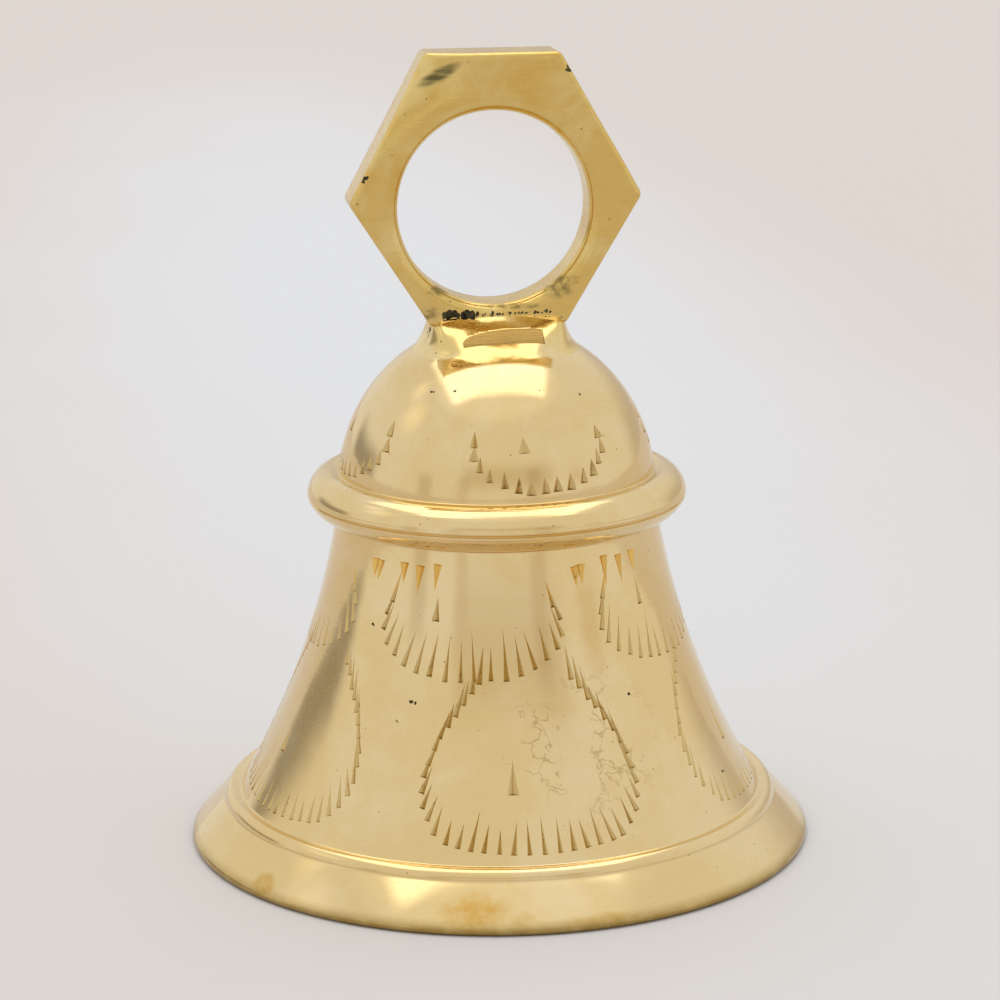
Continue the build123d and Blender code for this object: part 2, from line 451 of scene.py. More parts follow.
def makeTurnedInside():
    # inside of the bell: coarse lathe lines, never buffed, darker and rougher towards the crown
    material, shader, place = newFinish("turnedInside")
    lines = useGroup(turnedLines, place, Lines=1500.0, Wander=0.25)
    blotch = useGroup(tarnish, place, Scale=110.0, Cover=0.45)
    holes = useGroup(pinholes, place, Scale=1100.0, Size=0.2, Few=0.85)["Mask"]
    colour = mixColour(blotch["Mask"], insideGold["gold"], insideGold["dull"])
    height = splitXyz(place)[2]
    deep = ramp(height, 0.018, 0.044, 0.0, 0.55)
    darkening = largest(times(deep, blotch["Mottle"]), holes)
    colour = mixColour(darkening, colour, insideGold["brown"])
    rough = addUp((blotch["Mask"], 0.15), (lines["Height"], 0.12), (darkening, 0.3))
    settle(shader, colour, calc("ADD", rough, 0.22),
           addUp((lines["Height"], 1.0), (lines["Broad"], 0.8), (holes, -0.8)), 0.00011)
    return material


filed = {
    "gold": (0.77, 0.545, 0.175, 1), "orange": (0.70, 0.43, 0.085, 1), "pale": (0.82, 0.64, 0.28, 1),
    "olive": (0.13, 0.115, 0.045, 1), "rubbed": (0.52, 0.36, 0.10, 1), "roughness": 0.2,
    "darkPatches": [((5.6, -2.8, 54.4), (2.2, 2.0, 0.9)), ((-6.6, -2.6, 52.6), (1.2, 2.0, 0.9)),
                ((1.4, -2.7, 53.0), (3.4, 1.6, 0.35)),
                ((-5.4, -2.8, 54.7), (2.0, 2.0, 0.7)), ((6.4, -2.8, 55.3), (1.6, 2.0, 0.8))],
    # the painted reflection of the camera: centre, reach and tilt of a dark streak on the ring's face
    "cameraReflection": ((-5.35, -2.4, 75.15), (2.8, 2.0, 0.74)), "cameraReflectionTilt": 28.0,
}


def makeFiledBrass():
    # the cast ring: filed and rubbed by hand, satin on its faces
    material, shader, place = newFinish("filedBrass")
    blotch = useGroup(tarnish, place, Scale=130.0, Cover=0.5)
    warm = useGroup(tarnish, place, Scale=230.0, Cover=0.42)
    hair = useGroup(hairScratches, place, Scale=8000.0, Few=0.68)["Mask"]
    holes = useGroup(pinholes, place, Scale=1500.0, Size=0.2, Few=0.95)["Mask"]
    rubbed = vectorCalc("MULTIPLY", place, (140.0, 900.0, 2600.0))  # long across, fine from top to bottom
    grain = noiseOn(rubbed, 1.0, 3.0, 0.6)
    colour = mixColour(blotch["Mask"], filed["gold"], filed["pale"])
    colour = tinted(colour, filed["orange"], warm["Mask"], 0.6)
    # darker patches low on the ring, under the hole and by the seam
    darkPatch = spotsMask(place, filed["darkPatches"], 0.8)
    darkening = times(darkPatch, ramp(warm["Mottle"], 0.35, 0.65, 0.2, 0.75))
    # painted reflection: the dark camera mirrored on the upper left of the ring's face, laid in as a dark
    # streak
    cameraReflection = spotMask(place, *filed["cameraReflection"], ragged=0.5, tilt=filed["cameraReflectionTilt"])
    grainyCameraReflection = times(cameraReflection, ramp(grain, 0.3, 0.6, 0.6, 0.95))
    # the darkening joins the real holes and hairs with the dark patches and the painted camera reflection
    darkening = largest(darkening, times(holes, 0.8), times(hair, 0.16), grainyCameraReflection)
    colour = tinted(colour, filed["rubbed"], grain, 0.3)
    colour = mixColour(darkening, colour, filed["olive"])
    rough = addUp((grain, 0.14), (blotch["Mask"], 0.05), (darkening, 0.3))
    waves = noiseOn(place, 160.0, 2.0, 0.5)
    settle(shader, colour, calc("ADD", rough, filed["roughness"] - 0.08),
           addUp((waves, 1.0), (grain, 0.10), (darkening, -0.15)), 0.00014, 0.9)
    return material


solderLook = {"gold": (0.82, 0.64, 0.27, 1), "deep": (0.72, 0.47, 0.12, 1), "pale": (0.86, 0.72, 0.42, 1)}


def makeSolderBrass():
    # brazing metal, buffed with the dome: brighter and yellower, a little lumpy
    material, shader, place = newFinish("solderBrass")
    blotch = useGroup(tarnish, place, Scale=240.0, Cover=0.45)
    holes = useGroup(pinholes, place, Scale=1900.0, Size=0.22, Few=0.95)["Mask"]
    hair = useGroup(hairScratches, place, Scale=9000.0, Few=0.7)["Mask"]
    colour = mixColour(blotch["Mask"], solderLook["gold"], solderLook["pale"])
    colour = tinted(colour, solderLook["deep"], blotch["Mottle"], 0.35)
    darkening = largest(holes, times(hair, 0.2))
    colour = mixColour(darkening, colour, filed["olive"])
    rough = addUp((blotch["Mask"], 0.05), (darkening, 0.3))
    waves = noiseOn(place, 320.0, 2.0, 0.5)
    settle(shader, colour, calc("ADD", rough, 0.1), addUp((waves, 1.0), (darkening, -0.2)), 0.00008, 0.8)
    return material


def makeFiledFlat():
    # the bare file strokes on the flats of the solder; their dark brown is partly painted shade, standing in
    # for the dim reflection that the flats show
    material, shader, place = newFinish("filedFlat")
    tree = treeOf(shader)
    strokes = addNode(tree, "ShaderNodeMapping", {"Vector": place, "Scale": (260.0, 800.0, 5200.0),
                                                  "Rotation": (0.0, 0.06, 0.0)}).outputs[0]
    grain = noiseOn(strokes, 1.0, 3.0, 0.65)
    # painted shade in both browns of the file grain
    colour = mixColour(grain, (0.26, 0.155, 0.04, 1), (0.52, 0.34, 0.11, 1))
    settle(shader, colour, calc("MULTIPLY_ADD", grain, 0.15, 0.2), grain, 0.00004, 0.8)
    return material


# brass that was turned and left to dull: washer, nut, stud and rod; then the ball, dented where it strikes
fittingLook = {"bright": (0.70, 0.50, 0.22, 1), "dull": (0.50, 0.33, 0.12, 1), "lathe": 5200.0,
               "wander": 0.3, "patches": 260.0, "cover": 0.5, "hairs": 9000.0, "roughness": 0.2,
               "rough": (0.16, 0.0, 0.1), "bumps": (1.0, 0.5, 0.0), "bumpHeight": 0.00005}
ballLook = {"bright": (0.76, 0.56, 0.25, 1), "dull": (0.52, 0.34, 0.12, 1), "lathe": 3800.0, "wander": 0.2,
            "patches": 180.0, "cover": 0.42, "hairs": 8000.0, "roughness": 0.14,
            "rough": (0.14, 0.08, 0.1), "bumps": (0.5, 0.0, -1.2), "bumpHeight": 0.00009}


def makeDulledBrass(name, look):
    # rough: weights of patches, lathe lines and hairs; bumps: of lathe lines, mottle and dents
    material, shader, place = newFinish(name)
    lines = useGroup(turnedLines, place, Lines=look["lathe"], Wander=look["wander"])
    blotch = useGroup(tarnish, place, Scale=look["patches"], Cover=look["cover"])
    dents = useGroup(pinholes, place, Scale=330.0, Size=0.32, Few=0.72)["Mask"]
    hair = useGroup(hairScratches, place, Scale=look["hairs"], Few=0.64)["Mask"]
    colour = mixColour(blotch["Mask"], look["bright"], look["dull"])
    colour = tinted(colour, (0.25, 0.16, 0.06, 1), hair, 0.4)
    rough = addUp(*zip((blotch["Mask"], lines["Height"], hair), look["rough"]))
    bumps = addUp(*zip((lines["Height"], blotch["Mottle"], dents), look["bumps"]))
    settle(shader, colour, calc("ADD", rough, look["roughness"]), bumps, look["bumpHeight"], 0.8)
    return material


def makeLinkSteel():
    # drawn steel wire with a little rust where it rubs
    material, shader, place = newFinish("linkSteel")
    blotch = useGroup(tarnish, place, Scale=420.0, Cover=0.4)
    hair = useGroup(hairScratches, place, Scale=12000.0, Few=0.6)["Mask"]
    colour = mixColour(times(hair, 0.5), (0.56, 0.55, 0.53, 1), (0.25, 0.24, 0.23, 1))
    colour = tinted(colour, (0.20, 0.095, 0.045, 1), blotch["Mask"], 0.75)
    feed(shader.inputs["Base Color"], colour)
    feed(shader.inputs["Metallic"], ramp(blotch["Mask"], 0.4, 1.0, 1.0, 0.35))
    feed(shader.inputs["Roughness"], calc("MULTIPLY_ADD", blotch["Mask"], 0.4, 0.24))
    bumped(shader, addUp((blotch["Mottle"], 1.0), (hair, -0.3)), 0.00005, 0.8)
    return material


polishedBrass = makePolishedBrass()
chiselledBrass = makeChiselledBrass()
pitDirt = makePitDirt()
turnedInside = makeTurnedInside()
filedBrass = makeFiledBrass()
solderBrass = makeSolderBrass()
filedFlat = makeFiledFlat()
fittingBrass = makeDulledBrass("fittingBrass", fittingLook)
clapperBrass = makeDulledBrass("clapperBrass", ballLook)
linkSteel = makeLinkSteel()
print("finishes made:", len(bpy.data.materials))


# outlines are lists of (radius, height) or (x, z) in millimetres
def straight(start, end, steps=1):
    return [(start[0] + (end[0] - start[0]) * i / steps, start[1] + (end[1] - start[1]) * i / steps)
            for i in range(steps + 1)]


def arcAbout(centre, radius, first, last, steps):
    return [(centre[0] + radius * cos(radians(first + (last - first) * i / steps)),
             centre[1] + radius * sin(radians(first + (last - first) * i / steps)))
            for i in range(steps + 1)]


def arcThrough(start, middle, end, steps):
    (ax, ay), (bx, by), (cx, cy) = start, middle, end
    twice = 2 * (ax * (by - cy) + bx * (cy - ay) + cx * (ay - by))
    a, b, c = ax * ax + ay * ay, bx * bx + by * by, cx * cx + cy * cy
    x = (a * (by - cy) + b * (cy - ay) + c * (ay - by)) / twice
    y = (a * (cx - bx) + b * (ax - cx) + c * (bx - ax)) / twice
    first = atan2(ay - y, ax - x)
    sweep = (atan2(cy - y, cx - x) - first + pi) % (2 * pi) - pi
    radius = hypot(ax - x, ay - y)
    return arcAbout((x, y), radius, first * 180 / pi, (first + sweep) * 180 / pi, steps)


def shortened(points, trim):
    # the run without its last stretch of that length
    points = list(points)
    while len(points) > 2:
        last = hypot(points[-1][0] - points[-2][0], points[-1][1] - points[-2][1])
        if last > trim:
            break
        trim -= last
        points.pop()
    (ax, ay), (bx, by) = points[-2:]
    share = min(trim / hypot(bx - ax, by - ay), 0.45)
    return points[:-1] + [(bx + (ax - bx) * share, by + (ay - by) * share)]


def chainRuns(runs, steps=4):
    # one smooth outline: each run starts with how far its first corner is rounded off
    chain = list(runs[0][1])
    for trim, run in runs[1:]:
        corner = run[0]
        chain = shortened(chain, trim)
        rest = shortened(run[::-1], trim)[::-1]
        (ax, ay), (bx, by) = chain[-1], rest[0]
        for i in range(1, steps):
            t = i / steps
            chain.append(((1 - t) ** 2 * ax + 2 * t * (1 - t) * corner[0] + t * t * bx,
                          (1 - t) ** 2 * ay + 2 * t * (1 - t) * corner[1] + t * t * by))
        chain += rest
    return chain


def tooled(points, depth, pitch, seed):
    # fine tool lines along a run: a ripple whose height changes from ring to ring
    made, length = [points[0]], 0.0
    for i in range(1, len(points) - 1):
        (ax, ay), (bx, by), (cx, cy) = points[i - 1:i + 2]
        length += hypot(bx - ax, by - ay)
        side = Vector((cy - ay, ax - cx)).normalized()
        lift = depth * sin(2 * pi * length / pitch) * (0.3 + noise.noise((length / pitch * 0.7, seed, 0.3)))
        made.append((bx + side.x * lift, by + side.y * lift))
    return made + [points[-1]]


bell = {
    "lipRound": 0.5, "bandTop": (27.2, 4.1), "ledgeOut": (26.5, 5.1), "footHeight": 4.95,
    "waistHeight": 32.2, "skirtCentre": (96.1, 46.1), "skirtRadius": 81.6, "wall": 2.1, "mouthBevel": 0.8,
    "stepOut": (16.6, 32.5), "beadGroove": 34.3, "beadEnd": (16.1, 36.8),
    "dome": (15.4, 15.9, 35.1), "domeFoot": 36.6, "crownRadius": 7.3, "crownHole": 3.05, "seatRadius": 5.8,
    "crownThick": 3.0, "insideTop": (11.25, 42.2), "insideWaist": 35.5,
    "toolDepth": 0.012, "toolPitch": 0.37, "around": 224,
}
lipRadius = shellHigh[0] / mm
beadRadius = 18.45


def skirtRadiusAt(height, depth=0.0):
    centre = bell["skirtCentre"]
    return centre[0] - sqrt((bell["skirtRadius"] + depth) ** 2 - (height - centre[1]) ** 2)


def domeHeightAt(radius):
    wide, tall, base = bell["dome"]
    return base + tall * sqrt(1 - (radius / wide) ** 2)


def skirtRun(low, high, depth, steps):
    return [(skirtRadiusAt(low + (high - low) * i / steps, depth), low + (high - low) * i / steps)
            for i in range(steps + 1)]


def domeRun(steps):
    wide, tall, base = bell["dome"]
    first = np.arcsin((bell["domeFoot"] - base) / tall)
    last = acos(bell["crownRadius"] / wide)
    angles = [first + (last - first) * i / steps for i in range(steps + 1)]
    return [(wide * cos(angle), base + tall * sin(angle)) for angle in angles]


def bellOutline():
    wall, bevel, groove = bell["wall"], bell["mouthBevel"], bell["beadGroove"]
    lip = arcAbout((lipRadius - bell["lipRound"], bell["lipRound"]), bell["lipRound"], -90, 45, 8)
    swell = ((lipRadius + bell["bandTop"][0]) / 2 - 0.02, 2.5)
    band = arcThrough(lip[-1], swell, bell["bandTop"], 12)
    shoulder = arcThrough(bell["bandTop"], (bell["bandTop"][0] - 0.2, 4.75), bell["ledgeOut"], 6)
    foot = (skirtRadiusAt(bell["footHeight"]), bell["footHeight"])
    waist = (skirtRadiusAt(bell["waistHeight"]), bell["waistHeight"])
    lowRoll = arcThrough(bell["stepOut"], (17.75, 33.2), (beadRadius - 0.1, groove - 0.15), 34)
    highRoll = arcThrough((beadRadius, groove + 0.2), (17.75, 36.1), bell["beadEnd"], 54)
    lowRoll = tooled(lowRoll, bell["toolDepth"], bell["toolPitch"], 2.0)
    highRoll = tooled(highRoll, bell["toolDepth"], bell["toolPitch"], 7.0)
    dome = domeRun(44)
    crownTop = domeHeightAt(bell["crownRadius"])
    seat = (bell["seatRadius"], crownTop - bell["crownThick"])
    holeTop, holeLow = (bell["crownHole"], crownTop), (bell["crownHole"], seat[1])
    inWaist = (skirtRadiusAt(bell["insideWaist"], wall), bell["insideWaist"])
    inFoot = (skirtRadiusAt(bevel, wall), bevel)
    bevelLow = (inFoot[0] + bevel, 0.0)
    outside = chainRuns([
        (0, straight(bevelLow, lip[0], 3)), (0.05, lip), (0.05, band), (0.12, shoulder),
        (0.12, straight(bell["ledgeOut"], foot, 2)),
        (0.14, skirtRun(bell["footHeight"], bell["waistHeight"], 0.0, 56)),
        (0.12, straight(waist, bell["stepOut"], 1)), (0.09, lowRoll),
        (0.05, [lowRoll[-1], (beadRadius - 0.3, groove)]), (0.05, [(beadRadius - 0.3, groove), highRoll[0]]),
        (0.06, highRoll), (0.09, straight(bell["beadEnd"], dome[0], 2)), (0.16, dome)])
    inside = chainRuns([
        (0, straight(dome[-1], holeTop, 4)), (0.08, straight(holeTop, holeLow, 3)),
        (0.08, straight(holeLow, seat, 2)), (0.5, arcThrough(seat, bell["insideTop"], inWaist, 18)),
        (0.3, skirtRun(bell["insideWaist"], bevel, wall, 24)), (0.1, straight(inFoot, bevelLow, 2))])
    return outside + inside[1:-1]


def makeLatheTree():
    # turns a closed outline about Z: a grid whose rows are the outline's points, wrapped round
    tree, given, result = openTree(
        "latheTurning", "GeometryNodeTree",
        [("Outline", "Object", None), ("Points", "Int", 100), ("Around", "Int", 200),
         ("Material", "Material", None)],
        [("Mesh", "Geometry")])
    outline = addNode(tree, "GeometryNodeObjectInfo", {"Object": given["Outline"]}).outputs["Geometry"]
    columns = calc("ADD", given["Around"], 1.0)
    rows = calc("ADD", given["Points"], 1.0)
    grid = addNode(tree, "GeometryNodeMeshGrid", {"Vertices X": rows, "Vertices Y": columns}).outputs["Mesh"]
    index = tree.nodes.new("GeometryNodeInputIndex").outputs[0]
    row = calc("FLOOR", calc("DIVIDE", calc("ADD", index, 0.5), columns))
    column = calc("SUBTRACT", index, times(row, columns))
    row = calc("MODULO", row, given["Points"])  # the last row is the first again
    column = calc("MODULO", column, given["Around"])
    position = tree.nodes.new("GeometryNodeInputPosition").outputs[0]
    sample = addNode(tree, "GeometryNodeSampleIndex", {"Geometry": outline, "Index": row},
                     data_type="FLOAT_VECTOR", domain="POINT")
    feed(sample.inputs["Value"], position)
    angle = times(column, calc("DIVIDE", 2 * pi, given["Around"]))
    turned = addNode(tree, "ShaderNodeVectorRotate", {"Vector": sample.outputs[0], "Angle": angle},
                     rotation_type="Z_AXIS").outputs[0]
    placed = addNode(tree, "GeometryNodeSetPosition", {"Geometry": grid, "Position": turned}).outputs[0]
    closed = addNode(tree, "GeometryNodeMergeByDistance", {"Geometry": placed, "Distance": 1e-6}).outputs[0]
    return closeTree(tree, result, closed, given["Material"])


latheTree = makeLatheTree()


def turnOutline(name, outline, material, around, centre=(0.0, 0.0)):
    points = [((r + centre[0]) * mm, 0.0, (z + centre[1]) * mm) for r, z in outline]
    guide = emptyObject(name + "Outline")
    guide.data.from_pydata(points, [(i, (i + 1) % len(points)) for i in range(len(points))], [])
    piece = runTree(name, latheTree, {"Outline": guide, "Points": len(points), "Around": around,
                                      "Material": material})
    forget(guide)
    outward(piece)
    return piece


def reworked(piece, change):
    work = bmesh.new()
    work.from_mesh(piece.data)
    change(work)
    work.to_mesh(piece.data)
    work.free()


def outward(piece):
    reworked(piece, lambda work: bmesh.ops.recalc_face_normals(work, faces=work.faces))


# marks struck with a chisel: rows of small wedges, narrow at the top and deep at the foot
def tickWedge():
    # one unit wide, deep and long, its keel rising from the foot out through the surface
    out, foot = 1.0, -0.16
    half = 0.5 * (1 - foot + out)
    points = [(0, -1, 0), (0, out, 1 + out), (-half, out, foot), (half, out, foot)]
    wedge = meshObject("tickWedge", points, [(0, 3, 2), (0, 2, 1), (0, 1, 3), (2, 3, 1)])
    outward(wedge)
    return wedge


def merged(instances):
    # copies that run into one another become one solid, so that the cut comes out clean
    union = addNode(treeOf(instances), "GeometryNodeMeshBoolean", operation="UNION", solver="MANIFOLD")
    feed(union.inputs["Mesh 2"], instances)
    return union.outputs[0]


def makeChiselTree():
    # a U of marks on the wall, repeated round the bell; flat distances are wrapped at one radius
    sizes = ("halfWidth", "tuck", "top", "bottom", "wrap", "centre", "fan", "lean", "length", "width",
             "depth", "rest", "unevenness")
    tree, given, result = openTree(
        "chiselRow", "GeometryNodeTree",
        [("wall", "Object", None), ("wedge", "Object", None), ("material", "Material", None)]
        + [(title, "Float", None) for title in sizes]
        + [(title, "Int", None) for title in ("repeats", "ticks", "seed")],
        [("Mesh", "Geometry")])
    wall = addNode(tree, "GeometryNodeObjectInfo", {"Object": given["wall"]}).outputs["Geometry"]
    wedge = addNode(tree, "GeometryNodeObjectInfo", {"Object": given["wedge"]}).outputs["Geometry"]
    left = times(given["halfWidth"], -1.0)
    handle = times(given["halfWidth"], given["tuck"])
    drop = calc("DIVIDE", calc("SUBTRACT", given["top"], given["bottom"]), 0.75)
    dip = calc("SUBTRACT", given["top"], drop)
    curve = addNode(tree, "GeometryNodeCurvePrimitiveBezierSegment", {
        "Resolution": 64, "Start": joinXyz(left, 0.0, given["top"]),
        "Start Handle": joinXyz(times(handle, -1.0), 0.0, dip),
        "End Handle": joinXyz(handle, 0.0, dip),
        "End": joinXyz(given["halfWidth"], 0.0, given["top"])}).outputs[0]
    points = addNode(tree, "GeometryNodeCurveToPoints", {"Curve": curve, "Count": given["ticks"]}).outputs[0]
    copies = addNode(tree, "GeometryNodeDuplicateElements", {"Geometry": points, "Amount": given["repeats"]},
                     domain="POINT")

    def uneven(offset, low=-1.0, high=1.0):
        seed = calc("ADD", given["seed"], float(offset))
        node = addNode(tree, "FunctionNodeRandomValue", {"Seed": seed}, data_type="FLOAT")
        node.inputs[2].default_value, node.inputs[3].default_value = low, high
        return node.outputs[1]

    def varied(size, offset):
        share = calc("MULTIPLY_ADD", uneven(offset), given["unevenness"], 1.0)
        return times(size, share)

    x, _, z = splitXyz(tree.nodes.new("GeometryNodeInputPosition").outputs[0])
    slip = times(times(given["width"], given["unevenness"]), 0.9)
    x = calc("MULTIPLY_ADD", uneven(11), slip, x)
    z = calc("MULTIPLY_ADD", uneven(12), times(slip, 1.3), z)
    bow = 12.0  # per metre: how fast the foot of the U rises to its sides
    rest = calc("MULTIPLY_ADD", times(x, x), bow, given["rest"])
    z = largest(z, rest)  # the foot of a wide U lies flat
    pitch = calc("DIVIDE", 2 * pi, given["repeats"])
    turn = calc("MULTIPLY_ADD", copies.outputs["Duplicate Index"], pitch, given["centre"])
    angle = calc("ADD", turn, calc("DIVIDE", x, given["wrap"]))
    sine, cosine = calc("SINE", angle), calc("COSINE", angle)
    minusSine = times(sine, -1.0)
    far = 0.05
    start = joinXyz(times(sine, far), times(cosine, -far), z)
    hit = addNode(tree, "GeometryNodeRaycast", {
        "Target Geometry": wall, "Source Position": start, "Ray Direction": joinXyz(minusSine, cosine, 0.0),
        "Ray Length": far})
    lean = calc("MULTIPLY_ADD", x, times(given["fan"], -1.0), given["lean"])
    lean = calc("MULTIPLY_ADD", uneven(13), times(given["unevenness"], 0.35), lean)
    across, upward = calc("SINE", lean), calc("COSINE", lean)
    up = joinXyz(times(cosine, across), times(sine, across), upward)
    axes = {"Primary Axis": hit.outputs["Hit Normal"], "Secondary Axis": up}
    turning = addNode(tree, "FunctionNodeAxesToRotation", axes, primary_axis="Y", secondary_axis="Z")
    size = joinXyz(varied(given["width"], 21), varied(given["depth"], 22), varied(given["length"], 23))
    kept = tree.nodes.new("GeometryNodeCaptureAttribute")
    for kind, title in (("VECTOR", "place"), ("VECTOR", "size"), ("ROTATION", "turning")):
        kept.capture_items.new(kind, title)
    for title, value in (("Geometry", copies.outputs["Geometry"]), ("place", hit.outputs["Hit Position"]),
                         ("size", size), ("turning", turning.outputs[0])):
        feed(kept.inputs[title], value)
    onWall = addNode(tree, "GeometryNodeSetPosition", {
        "Geometry": kept.outputs["Geometry"], "Position": kept.outputs["place"]}).outputs[0]
    struck = addNode(tree, "GeometryNodeInstanceOnPoints", {
        "Points": onWall, "Instance": wedge, "Rotation": kept.outputs["turning"],
        "Scale": kept.outputs["size"]})
    return closeTree(tree, result, merged(struck.outputs[0]), given["material"])


# centre is the angle of the first U, counted from the front (-Y) towards +X; a dot is a U one mark wide
markRow = dict(repeats=5, halfWidth=0.01, tuck=1.0, ticks=1, fan=0.0, lean=0.0, rest=0.0, unevenness=0.18)
chisel = {
    "domeFan": dict(centre=9.5, repeats=4, halfWidth=7.0, tuck=1.12, top=42.0, bottom=37.5, wrap=15.2,
                    ticks=15, length=1.7, width=0.85, depth=0.26, seed=3),
    "domeDot": dict(centre=2.8, repeats=4, top=41.4, bottom=41.39, wrap=15.2,
                    length=1.9, width=0.95, depth=0.3, seed=5),
    "upperFan": dict(centre=-17.0, halfWidth=8.3, tuck=1.6, top=27.2, bottom=20.6, wrap=17.6, ticks=20,
                     length=2.7, width=0.52, depth=0.24, fan=32.0, seed=11),
    "upperDot": dict(centre=-27.6, top=25.8, bottom=25.79, wrap=17.6,
                     length=2.1, width=0.75, depth=0.3, seed=13),
    "lowerFan": dict(centre=0.0, halfWidth=5.2, tuck=5.0, top=20.5, bottom=4.6, wrap=22.0, ticks=40,
                     length=2.4, width=0.54, depth=0.25, fan=26.0, rest=6.0, seed=17),
    "lowerDot": dict(centre=-4.4, top=11.0, bottom=10.99, wrap=22.0,
                     length=2.9, width=0.9, depth=0.32, seed=19),
    "hungWedges": dict(centre=-34.5, halfWidth=1.9, tuck=0.5, top=30.7, bottom=30.65, wrap=17.0, ticks=3,
                       length=2.1, width=0.95, depth=0.26, seed=23, lean=180.0),
    "hungPair": dict(centre=19.7, halfWidth=0.45, tuck=0.5, top=30.3, bottom=30.25, wrap=17.0, ticks=2,
                     length=1.8, width=0.95, depth=0.24, seed=29, lean=180.0),
}
markLengths = ("halfWidth", "top", "bottom", "wrap", "length", "width", "depth", "rest")


def strikeMarks(wall):
    # one cutter for each row of marks
    tree, wedge = makeChiselTree(), tickWedge()
    rows = []
    for name, row in chisel.items():
        values = dict(markRow, **row)
        values.update({key: values[key] * mm for key in markLengths})
        values.update({key: radians(values[key]) for key in ("centre", "lean")})
        values.update(wall=wall, wedge=wedge, material=chiselledBrass)
        rows.append(runTree(name, tree, values))
    forget(wedge)
    return rows


def cutAway(piece, cutter, materials):
    # cutter's faces keep their own finish on the walls of the cut
    for material in materials:
        if material.name not in [m.name for m in piece.data.materials]:
            piece.data.materials.append(material)
    cut = piece.modifiers.new("cut", "BOOLEAN")
    cut.operation, cut.solver, cut.object = "DIFFERENCE", "MANIFOLD", cutter
    cut.material_mode = "TRANSFER"
    asPlainMesh(piece)
    forget(cutter)


def keepLargest(work):
    # a pit that lies wholly under the surface leaves a loose bubble, which goes
    seen, islands = set(), []
    for first in work.faces:
        if first.index in seen:
            continue
        seen.add(first.index)
        island, waiting = [], [first]
        while waiting:
            face = waiting.pop()
            island.append(face)
            for edge in face.edges:
                for other in edge.link_faces:
                    if other.index not in seen:
                        seen.add(other.index)
                        waiting.append(other)
        islands.append(island)
    main = max(islands, key=len)
    for island in islands:
        if island is not main:
            bmesh.ops.delete(work, geom=island, context="FACES")


def outlineNormals(outline):
    # outward normal of a closed outline at each of its points, longer sides counting for more
    points = np.array(outline)
    sides = np.roll(points, -1, axis=0) - points
    normals = np.stack([sides[:, 1], -sides[:, 0]], axis=1)  # as long as its side
    both = normals + np.roll(normals, 1, axis=0)
    return points, both / np.linalg.norm(both, axis=1)[:, None]


def trueNormals(mesh, outline, cutNames):
    # turned faces get the outline's own normals, so that the polish mirrors evenly up to every mark
    points, normals = outlineNormals(outline)
    ends, endNormals = np.roll(points, -1, axis=0), np.roll(normals, -1, axis=0)
    sides = ends - points
    place = np.empty(len(mesh.vertices) * 3)
    mesh.vertices.foreach_get("co", place)
    place = place.reshape(-1, 3)
    flat = np.stack([np.hypot(place[:, 0], place[:, 1]), place[:, 2]], axis=1) / mm
    smooth = np.empty((len(flat), 3))
    for start in range(0, len(flat), 4000):
        away = flat[start:start + 4000, None, :] - points[None]
        share = np.clip((away * sides).sum(2) / (sides ** 2).sum(1), 0, 1)
        gap = np.linalg.norm(away - share[..., None] * sides, axis=2)
        best = gap.argmin(1)
        share = share[np.arange(len(best)), best][:, None]
        normal = normals[best] * (1 - share) + endNormals[best] * share
        around = place[start:start + 4000, :2] / np.maximum(flat[start:start + 4000, :1] * mm, 1e-9)
        smooth[start:start + 4000] = np.concatenate([around * normal[:, :1], normal[:, 1:]], axis=1)
    cuts = {i for i, m in enumerate(mesh.materials) if m.name in cutNames}
    loops = np.empty((len(mesh.loops), 3))
    corner = np.empty(len(mesh.loops), dtype=int)
    mesh.loops.foreach_get("vertex_index", corner)
    loops[:] = smooth[corner]
    for face in mesh.polygons:
        face.use_smooth = face.material_index not in cuts
        if face.material_index in cuts:
            loops[face.loop_start:face.loop_start + face.loop_total] = face.normal
    loops /= np.linalg.norm(loops, axis=1)[:, None]
    mesh.normals_split_custom_set(loops.tolist())


